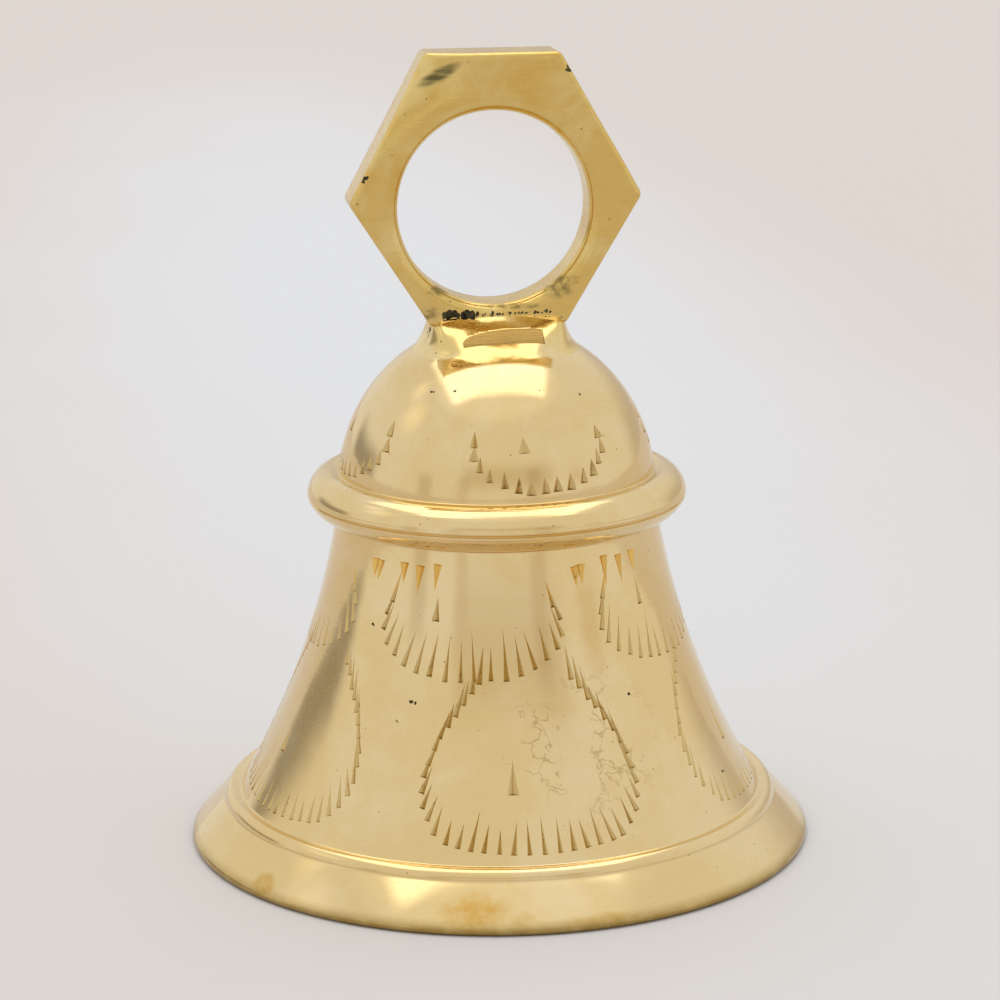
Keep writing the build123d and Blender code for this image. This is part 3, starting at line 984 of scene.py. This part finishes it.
def makePitTree():
    # small rough hollows strewn along a line
    tree, given, result = openTree(
        "pitLine", "GeometryNodeTree",
        [("Start", "Vector", (0, 0, 0)), ("End", "Vector", (0, 0, 0)), ("Count", "Int", 10),
         ("Strewn", "Vector", (0, 0, 0)), ("Smallest", "Float", 0.0001), ("Largest", "Float", 0.0003),
         ("Seed", "Int", 1), ("Material", "Material", None)],
        [("Mesh", "Geometry")])
    line = addNode(tree, "GeometryNodeMeshLine", {"Count": given["Count"], "Start Location": given["Start"],
                                                  "Offset": given["End"]}, mode="END_POINTS").outputs[0]
    away = addNode(tree, "FunctionNodeRandomValue", {"Seed": given["Seed"]}, data_type="FLOAT_VECTOR")
    away.inputs[0].default_value, away.inputs[1].default_value = (-1, -1, -1), (1, 1, 1)
    shift = vectorCalc("MULTIPLY", away.outputs[0], given["Strewn"])
    strewn = addNode(tree, "GeometryNodeSetPosition", {"Geometry": line, "Offset": shift}).outputs[0]
    ball = addNode(tree, "GeometryNodeMeshIcoSphere", {"Radius": 1.0, "Subdivisions": 2}).outputs[0]
    size = addNode(tree, "FunctionNodeRandomValue", {"Seed": calc("ADD", given["Seed"], 5.0)},
                   data_type="FLOAT")
    feed(size.inputs[2], given["Smallest"])
    feed(size.inputs[3], given["Largest"])
    spin = addNode(tree, "FunctionNodeRandomValue", {"Seed": calc("ADD", given["Seed"], 9.0)},
                   data_type="FLOAT_VECTOR")
    spin.inputs[1].default_value = (6.2, 6.2, 6.2)
    scale = vectorCalc("MULTIPLY", joinXyz(size.outputs[1], size.outputs[1], size.outputs[1]),
                       (1.35, 0.9, 0.75))
    pits = addNode(tree, "GeometryNodeInstanceOnPoints", {
        "Points": strewn, "Instance": ball, "Rotation": spin.outputs[0], "Scale": scale}).outputs[0]
    whole = addNode(tree, "GeometryNodeRealizeInstances", {"Geometry": merged(pits)}).outputs[0]
    position = tree.nodes.new("GeometryNodeInputPosition").outputs[0]
    rough = addNode(tree, "ShaderNodeTexNoise", {"Vector": position, "Scale": 4200.0, "Detail": 2.0})
    shove = vectorCalc("SUBTRACT", rough.outputs["Color"], (0.5, 0.5, 0.5))
    shove = vectorCalc("MULTIPLY", shove, (0.00016, 0.00016, 0.00016))
    ragged = addNode(tree, "GeometryNodeSetPosition", {"Geometry": whole, "Offset": shove}).outputs[0]
    return closeTree(tree, result, ragged, given["Material"])


pitTree = makePitTree()


def strewPits(name, lines):
    # each line: start, end, count, spread, smallest, largest, seed
    made = []
    for number, (start, end, count, spread, smallest, largest, seed) in enumerate(lines):
        made.append(runTree(f"{name}{number}", pitTree, {
            "Start": [c * mm for c in start], "End": [c * mm for c in end], "Count": count,
            "Strewn": [c * mm for c in spread], "Smallest": smallest * mm, "Largest": largest * mm,
            "Seed": seed, "Material": pitDirt}))
    return made


def onBell(angle, height, radius):
    turn = radians(angle)
    return (radius * sin(turn), -radius * cos(turn), height)


# (angle from the front, height, size) of the specks that the casting left in the polished wall
specks = {"skirt": [(-32.6, 18.4, 0.17), (-36.8, 16.6, 0.10), (31.0, 18.2, 0.14), (58.0, 8.6, 0.16),
                    (-51.0, 24.6, 0.14), (120.0, 12.0, 0.15), (171.0, 21.0, 0.13), (-140.0, 9.0, 0.16)],
          "dome": [(-40.6, 46.2, 0.12), (-29.0, 46.4, 0.16), (35.0, 45.6, 0.10), (150.0, 43.0, 0.13)]}


def makeBell():
    outline = bellOutline()
    piece = turnOutline("bell_skin", outline, polishedBrass, bell["around"])
    for marks in strikeMarks(piece):
        cutAway(piece, marks, [chiselledBrass])
    wide, tall, base = bell["dome"]
    lines = []
    for where, spots in specks.items():
        for number, (angle, height, size) in enumerate(spots):
            onDome = wide * sqrt(max(0.0, 1 - ((height - base) / tall) ** 2))
            radius = skirtRadiusAt(height) if where == "skirt" else onDome
            ends = onBell(angle, height, radius), onBell(angle + 0.8, height - 0.1, radius)
            spread = (size, size * 0.4, size * 0.5)
            lines.append((*ends, 3, spread, size * 0.6, size * 1.2, 40 + number))
    for pits in strewPits("wallSpecks", lines):
        cutAway(piece, pits, [pitDirt])
    reworked(piece, keepLargest)
    piece.data.materials.append(turnedInside)
    insideSlot = len(piece.data.materials) - 1
    crownTop = domeHeightAt(bell["crownRadius"]) * mm
    for face in piece.data.polygons:
        x, y, height = face.center
        radius = hypot(x, y)
        outer = skirtRadiusAt(min(height / mm, bell["waistHeight"]), bell["wall"] * 0.6) * mm
        domeInside = height > bell["insideWaist"] * mm and face.normal.dot(Vector((x, y, 0.005))) < 0
        if face.material_index == 0 and height < crownTop - 1e-5 and (radius < outer or domeInside) \
                and (height < bell["waistHeight"] * mm or domeInside) and height > 1e-6:
            face.material_index = insideSlot
    trueNormals(piece.data, outline, (chiselledBrass.name, pitDirt.name))
    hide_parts("bell_shell")
    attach(piece, "bell")
    print("bell_skin:", len(piece.data.polygons), "faces,", [m.name for m in piece.data.materials])


makeBell()


# the hexagonal finger ring: one closed band of faces round the hole
ring = {
    "corners": [(6.5, 51.2), (13.86, 63.4), (6.06, 77.06), (-6.66, 77.06), (-14.16, 63.1), (-6.5, 51.2)],
    "cornerRound": 0.8, "hole": (-0.3, 62.4, 9.2), "edgeRound": 0.45, "holeEdge": 1.15,
    "alongSide": 30, "cornerSteps": 8,
    "droopAt": 128.0, "droopWidth": 32.0, "droopFrom": 10.6, "droop": 0.085, "wave": 0.035,
}


def roundedCorners(corners, radius, steps, along):
    # outline with its corners rounded, as (point, outward normal), each side cut into short pieces
    made = []
    count = len(corners)
    for i in range(count):
        before, here, after = (Vector(corners[(i + k) % count]) for k in (-1, 0, 1))
        inDirection, outDirection = (here - before).normalized(), (after - here).normalized()
        turn = inDirection.angle(outDirection)
        reach = radius * tan(turn / 2)
        inNormal = Vector((inDirection.y, -inDirection.x))
        centre = here - inDirection * reach - inNormal * radius
        for k in range(steps + 1):
            angle = atan2(inNormal.y, inNormal.x) + turn * k / steps
            normal = Vector((cos(angle), sin(angle)))
            made.append((centre + normal * radius, normal))
        outNormal = Vector((outDirection.y, -outDirection.x))
        start = here + outDirection * reach
        nextTurn = outDirection.angle((Vector(corners[(i + 2) % count]) - after).normalized())
        length = (after - here).length - reach - radius * tan(nextTurn / 2)
        for k in range(1, along):
            made.append((start + outDirection * length * k / along, outNormal))
    return made


def ringSection(point, normal, holePoint, holeNormal, half):
    # one loop of points round the bar of the ring: front face, edge, side, edge, back face, hole
    edge, holeEdge = ring["edgeRound"], ring["holeEdge"]
    outIn, holeIn = point - normal * edge, holePoint - holeNormal * holeEdge

    def quarter(inner, direction, radius, side, leaving):
        # rounded edge on one side of the plate (-1 front, 1 back), leaving its face or coming back to it
        angles = [pi / 2 * k / 6 for k in range(1, 6)]
        pairs = [(sin(a), cos(a)) if leaving else (cos(a), sin(a)) for a in angles]
        return [(inner + direction * radius * out, side * (half - radius * (1 - flat)))
                for out, flat in pairs]

    loop = [(holeIn + (outIn - holeIn) * (i / 12), -half) for i in range(13)]
    loop += quarter(outIn, normal, edge, -1, True)
    loop += [(point, -half + edge + (2 * half - 2 * edge) * i / 8) for i in range(9)]
    loop += quarter(outIn, normal, edge, 1, False)
    loop += [(outIn + (holeIn - outIn) * (i / 12), half) for i in range(13)]
    loop += quarter(holeIn, holeNormal, holeEdge, 1, True)
    loop += [(holePoint, half - holeEdge - (2 * half - 2 * holeEdge) * i / 8) for i in range(9)]
    loop += quarter(holeIn, holeNormal, holeEdge, -1, False)
    return loop


def ringFace(place, half):
    # hand filing: the front falls away towards one top corner, and no face is quite flat
    x, z = place[0] - ring["hole"][0], place[2] - ring["hole"][1]
    angle, distance = np.degrees(atan2(z, x)), hypot(x, z)
    near = max(0.0, 1 - abs(angle - ring["droopAt"]) / ring["droopWidth"])
    fall = ring["droop"] * near * near * (3 - 2 * near) * max(0.0, distance - ring["droopFrom"]) ** 2
    depth = 1 - min(1.0, max(0.0, (place[1] + half) / half))
    wave = Vector(noise.noise_vector(Vector(place) * 0.16)) * ring["wave"]
    return (place[0] + wave.x, place[1] + fall * depth + wave.y, place[2] + wave.z)


def makeRing():
    half = ringHigh[1] / mm
    keep = 0.04  # the waves of the filing stay inside the plate
    corners, centre = ring["corners"], Vector(ring["hole"][:2])
    sections = []
    outer = roundedCorners(corners, ring["cornerRound"], ring["cornerSteps"], ring["alongSide"])
    for point, normal in outer:
        toHole = (centre - point).normalized()
        holePoint = centre - toHole * ring["hole"][2]
        sections.append(ringSection(point, normal, holePoint, toHole, half - keep))
    points = [ringFace((flat.x, y, flat.y), half) for loop in sections for flat, y in loop]
    points = [(x * mm, y * mm, z * mm) for x, y, z in points]
    return meshObject("finger_ring", points, bandFaces(len(sections), len(sections[0])), [filedBrass])


stud = {"radius": 2.95, "bottom": 41.6, "top": 50.4, "tangHalf": 1.1, "tangWide": 2.5, "tangHole": 1.25,
        "holeHeight": 39.10, "threadPitch": 0.5, "threadDepth": 0.14}


def makeStud():
    # stud with its rolled thread, and the flattened tang that the link hangs from
    outline = [(0.02, stud["bottom"] + 0.1), (stud["radius"] - 0.35, stud["bottom"])]
    height = stud["bottom"] + 0.3
    while height < stud["top"]:
        outline += [(stud["radius"] - stud["threadDepth"], height),
                    (stud["radius"], height + stud["threadPitch"] / 2)]
        height += stud["threadPitch"]
    outline += [(stud["radius"] - stud["threadDepth"], height), (0.02, height)]
    rod = turnOutline("ring_stud", outline, fittingBrass, 48)
    half, wide, hole = stud["tangHalf"], stud["tangWide"], stud["tangHole"]
    neck = stud["bottom"] + 0.5
    rim = [(wide, neck)] + [(x, z + stud["holeHeight"]) for x, z in arcAbout((0, 0), wide, 0, -180, 28)]
    rim += [(-wide, neck)]
    # from the neck's right corner round the bottom to its left corner, paired with the hole's edge
    inner = []
    for x, z in rim:
        away = Vector((x, z - stud["holeHeight"])).normalized() * hole
        inner.append((away.x, away.y + stud["holeHeight"]))
    soft = 0.22
    loops = []
    for shape, inset, y in ((inner, 0.0, -half + soft), (inner, -soft, -half), (rim, soft, -half),
                            (rim, 0.0, -half + soft), (rim, 0.0, half - soft), (rim, soft, half),
                            (inner, -soft, half), (inner, 0.0, half - soft)):
        loop = []
        for x, z in shape:
            inward = (Vector((0, stud["holeHeight"])) - Vector((x, z))).normalized() * inset
            loop.append((x + inward.x, y, z + inward.y))
        loops.append(loop)
    count = len(rim)
    points = [tuple(c * mm for c in loop[i]) for i in range(count) for loop in loops]
    tang = meshObject("tang", points, bandFaces(count, len(loops)), [fittingBrass])
    outward(tang)
    return joined("ring_stud", [rod, tang])


def finishPiece(piece, node, body, sharp=40.0):
    def smoothed(work):
        # smooth all over, but for the edges that turn by more than the angle
        bmesh.ops.remove_doubles(work, verts=work.verts, dist=1e-7)
        bmesh.ops.recalc_face_normals(work, faces=work.faces)
        for face in work.faces:
            face.smooth = True
        for edge in work.edges:
            if len(edge.link_faces) == 2 and edge.calc_face_angle(0.0) > radians(sharp):
                edge.smooth = False

    reworked(piece, smoothed)
    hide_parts(node)
    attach(piece, body)
    print(piece.name + ":", len(piece.data.polygons), "faces")
    return piece


# solder round the ring's root: its skin runs from the dome up to the faces of the ring
solder = {
    "outRadius": 8.15, "neckHalf": 6.5, "neckHeight": 51.6, "seamHeight": 52.2, "halfThick": 2.72,
    "boxy": 0.4, "around": 288, "upward": 36, "lumps": 0.05, "slope": 30.0, "slopeReach": 3.0,
    "facetTilt": 40.0, "facetTurn": 2.0, "facetTop": (0.4, 4.5), "facetFoot": 1.9, "facetHalf": 3.9,
}


def solderSkin(angle, share):
    # point at an angle round the axis, 0 on the dome and 1 at the ring
    sine, cosine = sin(angle), cos(angle)
    radius = solder["outRadius"] + 0.2 * noise.noise((2 * sine, 2 * cosine, 5.0))
    wide, tall, _ = bell["dome"]
    steep = tall * radius / (wide * wide * sqrt(1 - (radius / wide) ** 2))
    along = Vector((-1.0, steep)).normalized()
    power = solder["boxy"]
    x = solder["neckHalf"] * (1 if sine > 0 else -1) * abs(sine) ** power
    y = -solder["halfThick"] * (1 if cosine > 0 else -1) * abs(cosine) ** power
    front = min(1.0, max(0.0, (abs(cosine) - 0.3) / 0.45))
    front = front * front * (3 - 2 * front)
    top = solder["neckHeight"] + (solder["seamHeight"] - solder["neckHeight"]) * front
    outer = Vector((radius * sine, -radius * cosine, domeHeightAt(radius)))
    inner = Vector((x, y, top))
    flat = Vector((outer.x - x, outer.y - y, 0)).normalized()
    slope = radians(solder["slope"])
    sideDrop = Vector((0.12 * flat.x, 0.12 * flat.y, -1.0)) * 1.1
    frontDrop = (flat * cos(slope) + Vector((0, 0, -sin(slope)))) * solder["slopeReach"]
    second = inner + sideDrop * (1 - front) + frontDrop * front
    first = outer + Vector((along.x * sine, -along.x * cosine, along.y)) * (0.9 + 0.6 * front)
    t = share
    place = (outer * (1 - t) ** 3 + first * 3 * t * (1 - t) ** 2 + second * 3 * t * t * (1 - t)
             + inner * t ** 3)
    lump = noise.noise(place * 0.45) * solder["lumps"] * 4 * t * (1 - t)
    return place + Vector((sine, -cosine, 0.4)) * lump


def makeSolder():
    around, upward = solder["around"], solder["upward"]
    rows = []
    for i in range(around):
        angle = 2 * pi * i / around
        column = [solderSkin(angle, k / upward) for k in range(upward + 1)]
        low, high = column[0], column[-1]
        under = Vector((low.x * 0.9, low.y * 0.9, low.z - 0.6))
        over = Vector((high.x * 0.85, high.y * 0.75, high.z - 0.5))
        rows.append([under] + column + [over])
    size = upward + 3
    points = [p * mm for row in rows for p in row]
    points += [Vector((0, 0, z)) * mm for z in (solderSkin(0.0, 0.0).z - 0.6, solder["neckHeight"] - 0.5)]
    faces = []
    for i in range(around):
        j = (i + 1) % around
        for k in range(size - 1):
            faces.append((i * size + k, j * size + k, j * size + k + 1, i * size + k + 1))
        faces.append((len(points) - 2, j * size, i * size))
        faces.append((len(points) - 1, i * size + size - 1, j * size + size - 1))
    piece = meshObject("solder_shoulder", points, faces, [solderBrass])
    outward(piece)
    for side in (1, -1):
        cutAway(piece, facetCutter(piece, side), [filedFlat])
    return piece


def facetCutter(piece, side):
    # block whose lower face is the flat filed into the slope, steeper than the slope itself
    tilt, turn = radians(solder["facetTilt"]), radians(solder["facetTurn"])
    across = Vector((cos(turn), sin(turn) * side, 0.0))
    normal = Vector((sin(turn), -cos(turn) * side, 0.0)) * cos(tilt) + Vector((0, 0, sin(tilt)))
    downhill = across.cross(normal) * side
    x, y = solder["facetTop"]
    slope = [v.co / mm for v in piece.data.vertices if v.co.z > 49.5 * mm]
    top = min(slope, key=lambda place: hypot(place.x - x, place.y + y * side))
    if downhill.z > 0:
        downhill = -downhill
    corners = []
    for outwards in (0.0, 3.0):
        for along in (-0.6, solder["facetFoot"]):
            for aside in (-solder["facetHalf"], solder["facetHalf"]):
                corners.append((top + across * aside + downhill * along + normal * outwards) * mm)
    block = meshObject("facetBlock", corners, [(0, 1, 3, 2), (4, 6, 7, 5), (0, 4, 5, 1), (2, 3, 7, 6),
                                               (0, 2, 6, 4), (1, 5, 7, 3)], [filedFlat])
    outward(block)
    return block


seamPits = [((-5.3, -2.9, 52.35), (-2.6, -2.95, 52.25), 17, (0.25, 0.12, 0.22), 0.16, 0.42, 3),
            ((-2.8, -2.95, 52.3), (0.2, -2.95, 52.35), 14, (0.2, 0.08, 0.10), 0.10, 0.22, 8),
            ((0.0, -2.95, 52.35), (5.1, -2.95, 52.4), 30, (0.2, 0.06, 0.07), 0.08, 0.18, 14),
            ((-6.2, -2.2, 51.2), (-6.6, -1.2, 50.6), 5, (0.15, 0.2, 0.3), 0.12, 0.26, 21),
            ((-5.0, 2.85, 52.2), (5.0, 2.85, 52.2), 26, (0.3, 0.08, 0.12), 0.08, 0.26, 27)]
ringPits = [((-12.75, -2.85, 65.4), (-12.55, -2.85, 65.75), 4, (0.12, 0.06, 0.12), 0.17, 0.28, 31),
            ((6.7, -2.8, 75.6), (6.9, -2.75, 75.2), 4, (0.08, 0.05, 0.15), 0.14, 0.24, 37),
            ((-2.4, -2.8, 73.75), (2.1, -2.8, 73.85), 9, (0.35, 0.03, 0.1), 0.05, 0.09, 43),
            ((9.5, 2.8, 61.0), (10.5, 2.8, 66.0), 6, (0.8, 0.03, 0.5), 0.06, 0.14, 47)]


def makeHandle():
    plate = makeRing()
    outward(plate)
    mound = makeSolder()
    for piece, lines in ((plate, ringPits + seamPits), (mound, seamPits)):
        for pits in strewPits("hollows", lines):
            cutAway(piece, pits, [pitDirt])
        reworked(piece, keepLargest)
    finishPiece(plate, "ring_handle", "bell", 50)
    finishPiece(mound, "solder_collar", "bell", 30)
    finishPiece(makeStud(), "ring_handle", "bell", 30)


makeHandle()


# washer and nut inside the crown
fitting = {"washerRadius": 5.4, "washerBore": 3.05, "nutFlats": 10.0, "nutBore": 2.98, "bevel": 0.12}


def makeWasher():
    low, high = (corner[2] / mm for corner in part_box("crown_washer"))
    out, bore, soft = fitting["washerRadius"], fitting["washerBore"], fitting["bevel"]
    box = [(bore, low), (out, low), (out, high), (bore, high)]
    outline = chainRuns([(0, straight(box[0], box[1], 4)), (soft, straight(box[1], box[2])),
                         (soft, straight(box[2], box[3], 4)), (soft, straight(box[3], box[0]))])[:-1]
    piece = turnOutline("crown_washer_flat", outline, fittingBrass, 96)
    finishPiece(piece, "crown_washer", "bell", 50)


def makeNut():
    low, high = (corner[2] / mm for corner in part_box("crown_nut"))
    corner, flats = fitting["nutFlats"] / 2 / cos(pi / 6), fitting["nutFlats"] / 2
    chamfer, bore = 0.45, fitting["nutBore"]
    # a turned blank with its chamfer, cut down to six flats
    outline = [(bore, low + 0.3), (bore + 0.3, low), (corner - chamfer * 1.6, low),
               (corner + 0.3, low + chamfer * 1.3), (corner + 0.3, high - 0.1), (corner, high), (bore, high)]
    piece = turnOutline("crown_nut_hex", outline, fittingBrass, 120)

    def sixFlats(work):
        for k in range(6):
            angle = pi / 6 + k * pi / 3
            normal = Vector((cos(angle), sin(angle), 0))
            everything = work.verts[:] + work.edges[:] + work.faces[:]
            cut = bmesh.ops.bisect_plane(work, geom=everything, dist=1e-7, plane_co=normal * flats * mm,
                                         plane_no=normal, clear_outer=True)
            rim = [part for part in cut["geom_cut"] if isinstance(part, bmesh.types.BMEdge)]
            bmesh.ops.contextual_create(work, geom=rim)

    reworked(piece, sixFlats)
    soften = piece.modifiers.new("soften", "BEVEL")
    soften.width, soften.segments = 0.08 * mm, 2
    soften.limit_method, soften.angle_limit = "ANGLE", radians(35)
    asPlainMesh(piece)
    finishPiece(piece, "crown_nut", "bell", 40)


makeWasher()
makeNut()

# link, rod and ball
link = {"wire": 0.75, "bend": 2.9, "weld": 0.1}
clapper = {"eyeWire": 0.9, "eyeRadius": 2.3, "rod": 1.1, "ball": 5.6, "ballHeight": 9.2, "face": 5.2,
           "peen": 1.75}


def tubeAlong(name, places, radii, material, sides=20):
    # closed loop of wire through the places, which lie in one upright plane
    points, count = [], len(places)
    flat = (places[1] - places[0]).cross(places[count // 3] - places[0]).normalized()
    for i, place in enumerate(places):
        along = (places[(i + 1) % count] - places[i - 1]).normalized()
        across = flat.cross(along).normalized()
        for k in range(sides):
            angle = 2 * pi * k / sides
            points.append((place + (across * cos(angle) + flat * sin(angle)) * radii[i]) * mm)
    return meshObject(name, points, bandFaces(count, sides), [material])


def makeLink():
    low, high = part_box("clapper_link")
    top = high[2] / mm - link["wire"] - link["bend"]
    bottom = low[2] / mm + link["wire"] + link["bend"]
    route = arcAbout((0, top), link["bend"], 0, 180, 28)
    route += straight((-link["bend"], top), (-link["bend"], bottom), 14)[1:-1]
    route += arcAbout((0, bottom), link["bend"], 180, 360, 28)
    route += straight((link["bend"], bottom), (link["bend"], top), 14)[1:-1]
    places = [Vector((0, y, z)) for y, z in route]
    middle = (top + bottom) / 2
    radii = []
    for y, z in route:
        # the weld on the front side of the link
        bump = link["weld"] * max(0.0, 1 - abs(z - middle) / 0.7) if y < 0 else 0.0
        radii.append(link["wire"] + bump - 0.01)
    piece = tubeAlong("link_wire", places, radii, linkSteel)
    finishPiece(piece, "clapper_link", "link", 60)


def makeRod():
    low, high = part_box("clapper_rod")
    eyeCentre = high[2] / mm - clapper["eyeRadius"] - clapper["eyeWire"]
    bottom, rod, peen = low[2] / mm, clapper["rod"], clapper["peen"]
    faceLow = clapper["ballHeight"] - clapper["face"]
    eyeLow = eyeCentre - clapper["eyeRadius"]
    outline = chainRuns([
        (0, straight((0.02, bottom), (peen - 0.2, bottom + 0.06), 3)),
        (0.2, straight((peen - 0.2, bottom + 0.06), (peen, faceLow - 0.25), 2)),
        (0.15, straight((peen, faceLow - 0.25), (peen - 0.1, faceLow))),
        (0.05, straight((peen - 0.1, faceLow), (rod, faceLow))),
        (0.02, straight((rod, faceLow), (rod, eyeLow - 1.6), 24)),
        (0.2, straight((rod, eyeLow - 1.6), (rod * 1.18, eyeLow - 0.4), 3)),
        (0.3, straight((rod * 1.18, eyeLow - 0.4), (0.02, eyeLow + 0.1), 2))])
    shank = turnOutline("clapper_rod_turned", outline, fittingBrass, 40)
    route = arcAbout((0, eyeCentre), clapper["eyeRadius"], -90, 270, 60)[:-1]
    places = [Vector((x, 0, z)) for x, z in route]
    radii = [clapper["eyeWire"] - 0.01] * len(places)
    eye = tubeAlong("eye", places, radii, fittingBrass)
    piece = joined("clapper_rod_turned", [shank, eye])
    finishPiece(piece, "clapper_rod", "clapper", 60)


def makeBall():
    radius, centre, face = clapper["ball"], clapper["ballHeight"], clapper["face"]
    start = np.degrees(np.arcsin(face / radius))
    bore = clapper["rod"] + 0.02
    low, high = centre - face, centre + face
    edge = radius * cos(radians(start))
    curve = tooled(arcAbout((0, centre), radius - 0.015, -start, start, 90), 0.012, 0.55, 4.0)
    outline = chainRuns([
        (0, straight((bore, high), (bore, low), 4)), (0.08, straight((bore, low), (edge, low), 3)),
        (0.12, curve), (0.12, straight((edge, high), (bore, high), 3))])[:-1]
    piece = turnOutline("clapper_ball_turned", outline, clapperBrass, 128)
    for vertex in piece.data.vertices:
        # shallow dents round the middle, where it meets the wall of the bell
        place = vertex.co / mm
        out = Vector((place.x, place.y, place.z - centre)).normalized()
        if hypot(place.x, place.y) > bore + 0.5:
            band = max(0.0, 1 - abs(place.z - centre - 1.0) / 3.2)
            dent = max(0.0, noise.noise(place * 0.9) - 0.15) * 0.16 * band
            vertex.co -= out * dent * mm
    finishPiece(piece, "clapper_ball", "clapper", 50)


makeLink()
makeRod()
makeBall()

# stage, light and camera
floorLook = {"grey": (0.67, 0.69, 0.728, 1), "warm": (0.64, 0.595, 0.574, 1), "size": 6.0}


def makeFloor():
    material, shader, place = newFinish("paleFloor", metallic=0.0, roughness=0.85)
    tree = treeOf(shader)
    middle = addNode(tree, "ShaderNodeMapping", {"Vector": place, "Location": (-0.30, -0.75, 0.0),
                                                 "Scale": (14.0, 2.6, 1.0)}).outputs[0]
    distance = lengthOf(middle)
    cloud = noiseOn(place, 9.0, 3.0)
    reach = addUp((distance, 1.0), (cloud, 0.5))
    colour = mixColour(ramp(reach, 0.5, 1.9), floorLook["grey"], floorLook["warm"])
    feed(shader.inputs["Base Color"], colour)
    bumped(shader, noiseOn(place, 900.0, 3.0), 0.00008, 0.3)
    half = floorLook["size"]
    steps = 24
    points = [(half * (2 * i / steps - 1), half * (2 * j / steps - 1), shellLow[2])
              for j in range(steps + 1) for i in range(steps + 1)]
    row = steps + 1
    faces = [(j * row + i, j * row + i + 1, (j + 1) * row + i + 1, (j + 1) * row + i)
             for j in range(steps) for i in range(steps)]
    meshObject("floor", points, faces, [material])


# light tent: brightness by direction, angles from the front (-Y) towards +X, then above the floor
tent = {
    "wall": (0.86, 0.845, 0.82, 1), "strength": 1.0,
    # (angle, half width, low, high, softness, brightness, colour)
    "panels": [
        (0, 180, 55, 96, 4, 1.12, (1.0, 1.0, 1.0)),
        (-96, 9, 30, 45, 7, 1.3, (1.0, 0.98, 0.95)),
        (-116, 7, 42, 50, 5, 1.35, (1.0, 0.98, 0.95)),
        (-126, 17, -2, 10, 5, 0.45, (1.0, 0.94, 0.88)),
        (150, 34, -12, 14, 12, 0.72, (1.0, 0.93, 0.86)),
        (0, 34, 8, 22, 6, 0.85, (1.0, 0.94, 0.84)),
        (-61, 5, -5, 12, 3, 0.82, (1.0, 0.95, 0.90)),
        (-33, 4, -5, 14, 3, 0.90, (1.0, 0.95, 0.90)),
        (20, 5, 0, 20, 3, 0.88, (1.0, 0.95, 0.90)),
        (52, 6, 5, 14, 3, 1.0, (0.93, 0.86, 0.80)),
    ],
    # soft box overhead: how far it reaches, as sideways over up
    "overhead": {"left": -0.55, "right": 0.55, "front": -0.25, "back": 0.84, "soft": 0.06, "gain": 2.0},
}


def makeTent():
    world = bpy.data.worlds.new("lightTent")
    bpy.context.scene.world = world
    world.use_nodes = True
    tree = world.node_tree
    tree.nodes.clear()
    direction = tree.nodes.new("ShaderNodeTexCoord").outputs["Generated"]
    x, y, z = splitXyz(direction)
    level = largest(calc("SQRT", calc("ADD", times(x, x), times(y, y))), 1e-4)
    height = times(calc("ARCTAN2", z, level), 180 / pi)
    colour = tent["wall"]
    for angle, half, low, high, soft, gain, tint in tent["panels"]:
        aim = radians(angle)
        facing = calc("ADD", times(x, sin(aim)), times(y, -cos(aim)))
        aside = calc("ARCCOSINE", calc("DIVIDE", facing, times(level, 1.00001)))
        aside = times(aside, 180 / pi)
        mask = ramp(aside, half + soft, half - soft) if half < 180 else 1.0
        mask = times(mask, ramp(height, low - soft, low + soft))
        mask = times(mask, ramp(height, high + soft, high - soft))
        colour = mixColour(mask, colour, tuple(gain * c for c in tint) + (1,), "MULTIPLY")
    box = tent["overhead"]
    rise = largest(z, 1e-3)
    across, along = calc("DIVIDE", x, rise), calc("DIVIDE", y, rise)
    mask = 1.0
    for value, edge, inside in ((across, box["left"], 1), (across, box["right"], -1),
                                (along, box["front"], 1), (along, box["back"], -1)):
        mask = times(mask, ramp(value, edge - box["soft"] * inside, edge + box["soft"] * inside))
    colour = mixColour(mask, colour, (box["gain"],) * 3 + (1,), "MULTIPLY")
    background = addNode(tree, "ShaderNodeBackground", {"Color": colour, "Strength": tent["strength"]})
    output = tree.nodes.new("ShaderNodeOutputWorld")
    tree.links.new(background.outputs[0], output.inputs[0])


view = {"away": 0.300, "angle": -8.0, "height": 0.1068, "down": 13.75, "roll": -0.516, "lens": 114.03,
        "shift": 0.00324}


def makeCamera():
    camera = bpy.data.objects.new("camera", bpy.data.cameras.new("camera"))
    bpy.context.scene.collection.objects.link(camera)
    turn = radians(view["angle"])
    camera.location = (view["away"] * sin(turn), -view["away"] * cos(turn), view["height"])
    turned = Matrix.Rotation(turn, 3, "Z") @ Matrix.Rotation(radians(90 - view["down"]), 3, "X")
    camera.rotation_euler = (turned @ Matrix.Rotation(radians(view["roll"]), 3, "Z")).to_euler()
    camera.data.lens, camera.data.sensor_width, camera.data.shift_x = view["lens"], 36.0, view["shift"]
    camera.data.clip_start = 0.01
    bpy.context.scene.camera = camera


makeFloor()
makeTent()
makeCamera()
bpy.context.scene.view_settings.view_transform = "Standard"
print("stage, light and camera set")
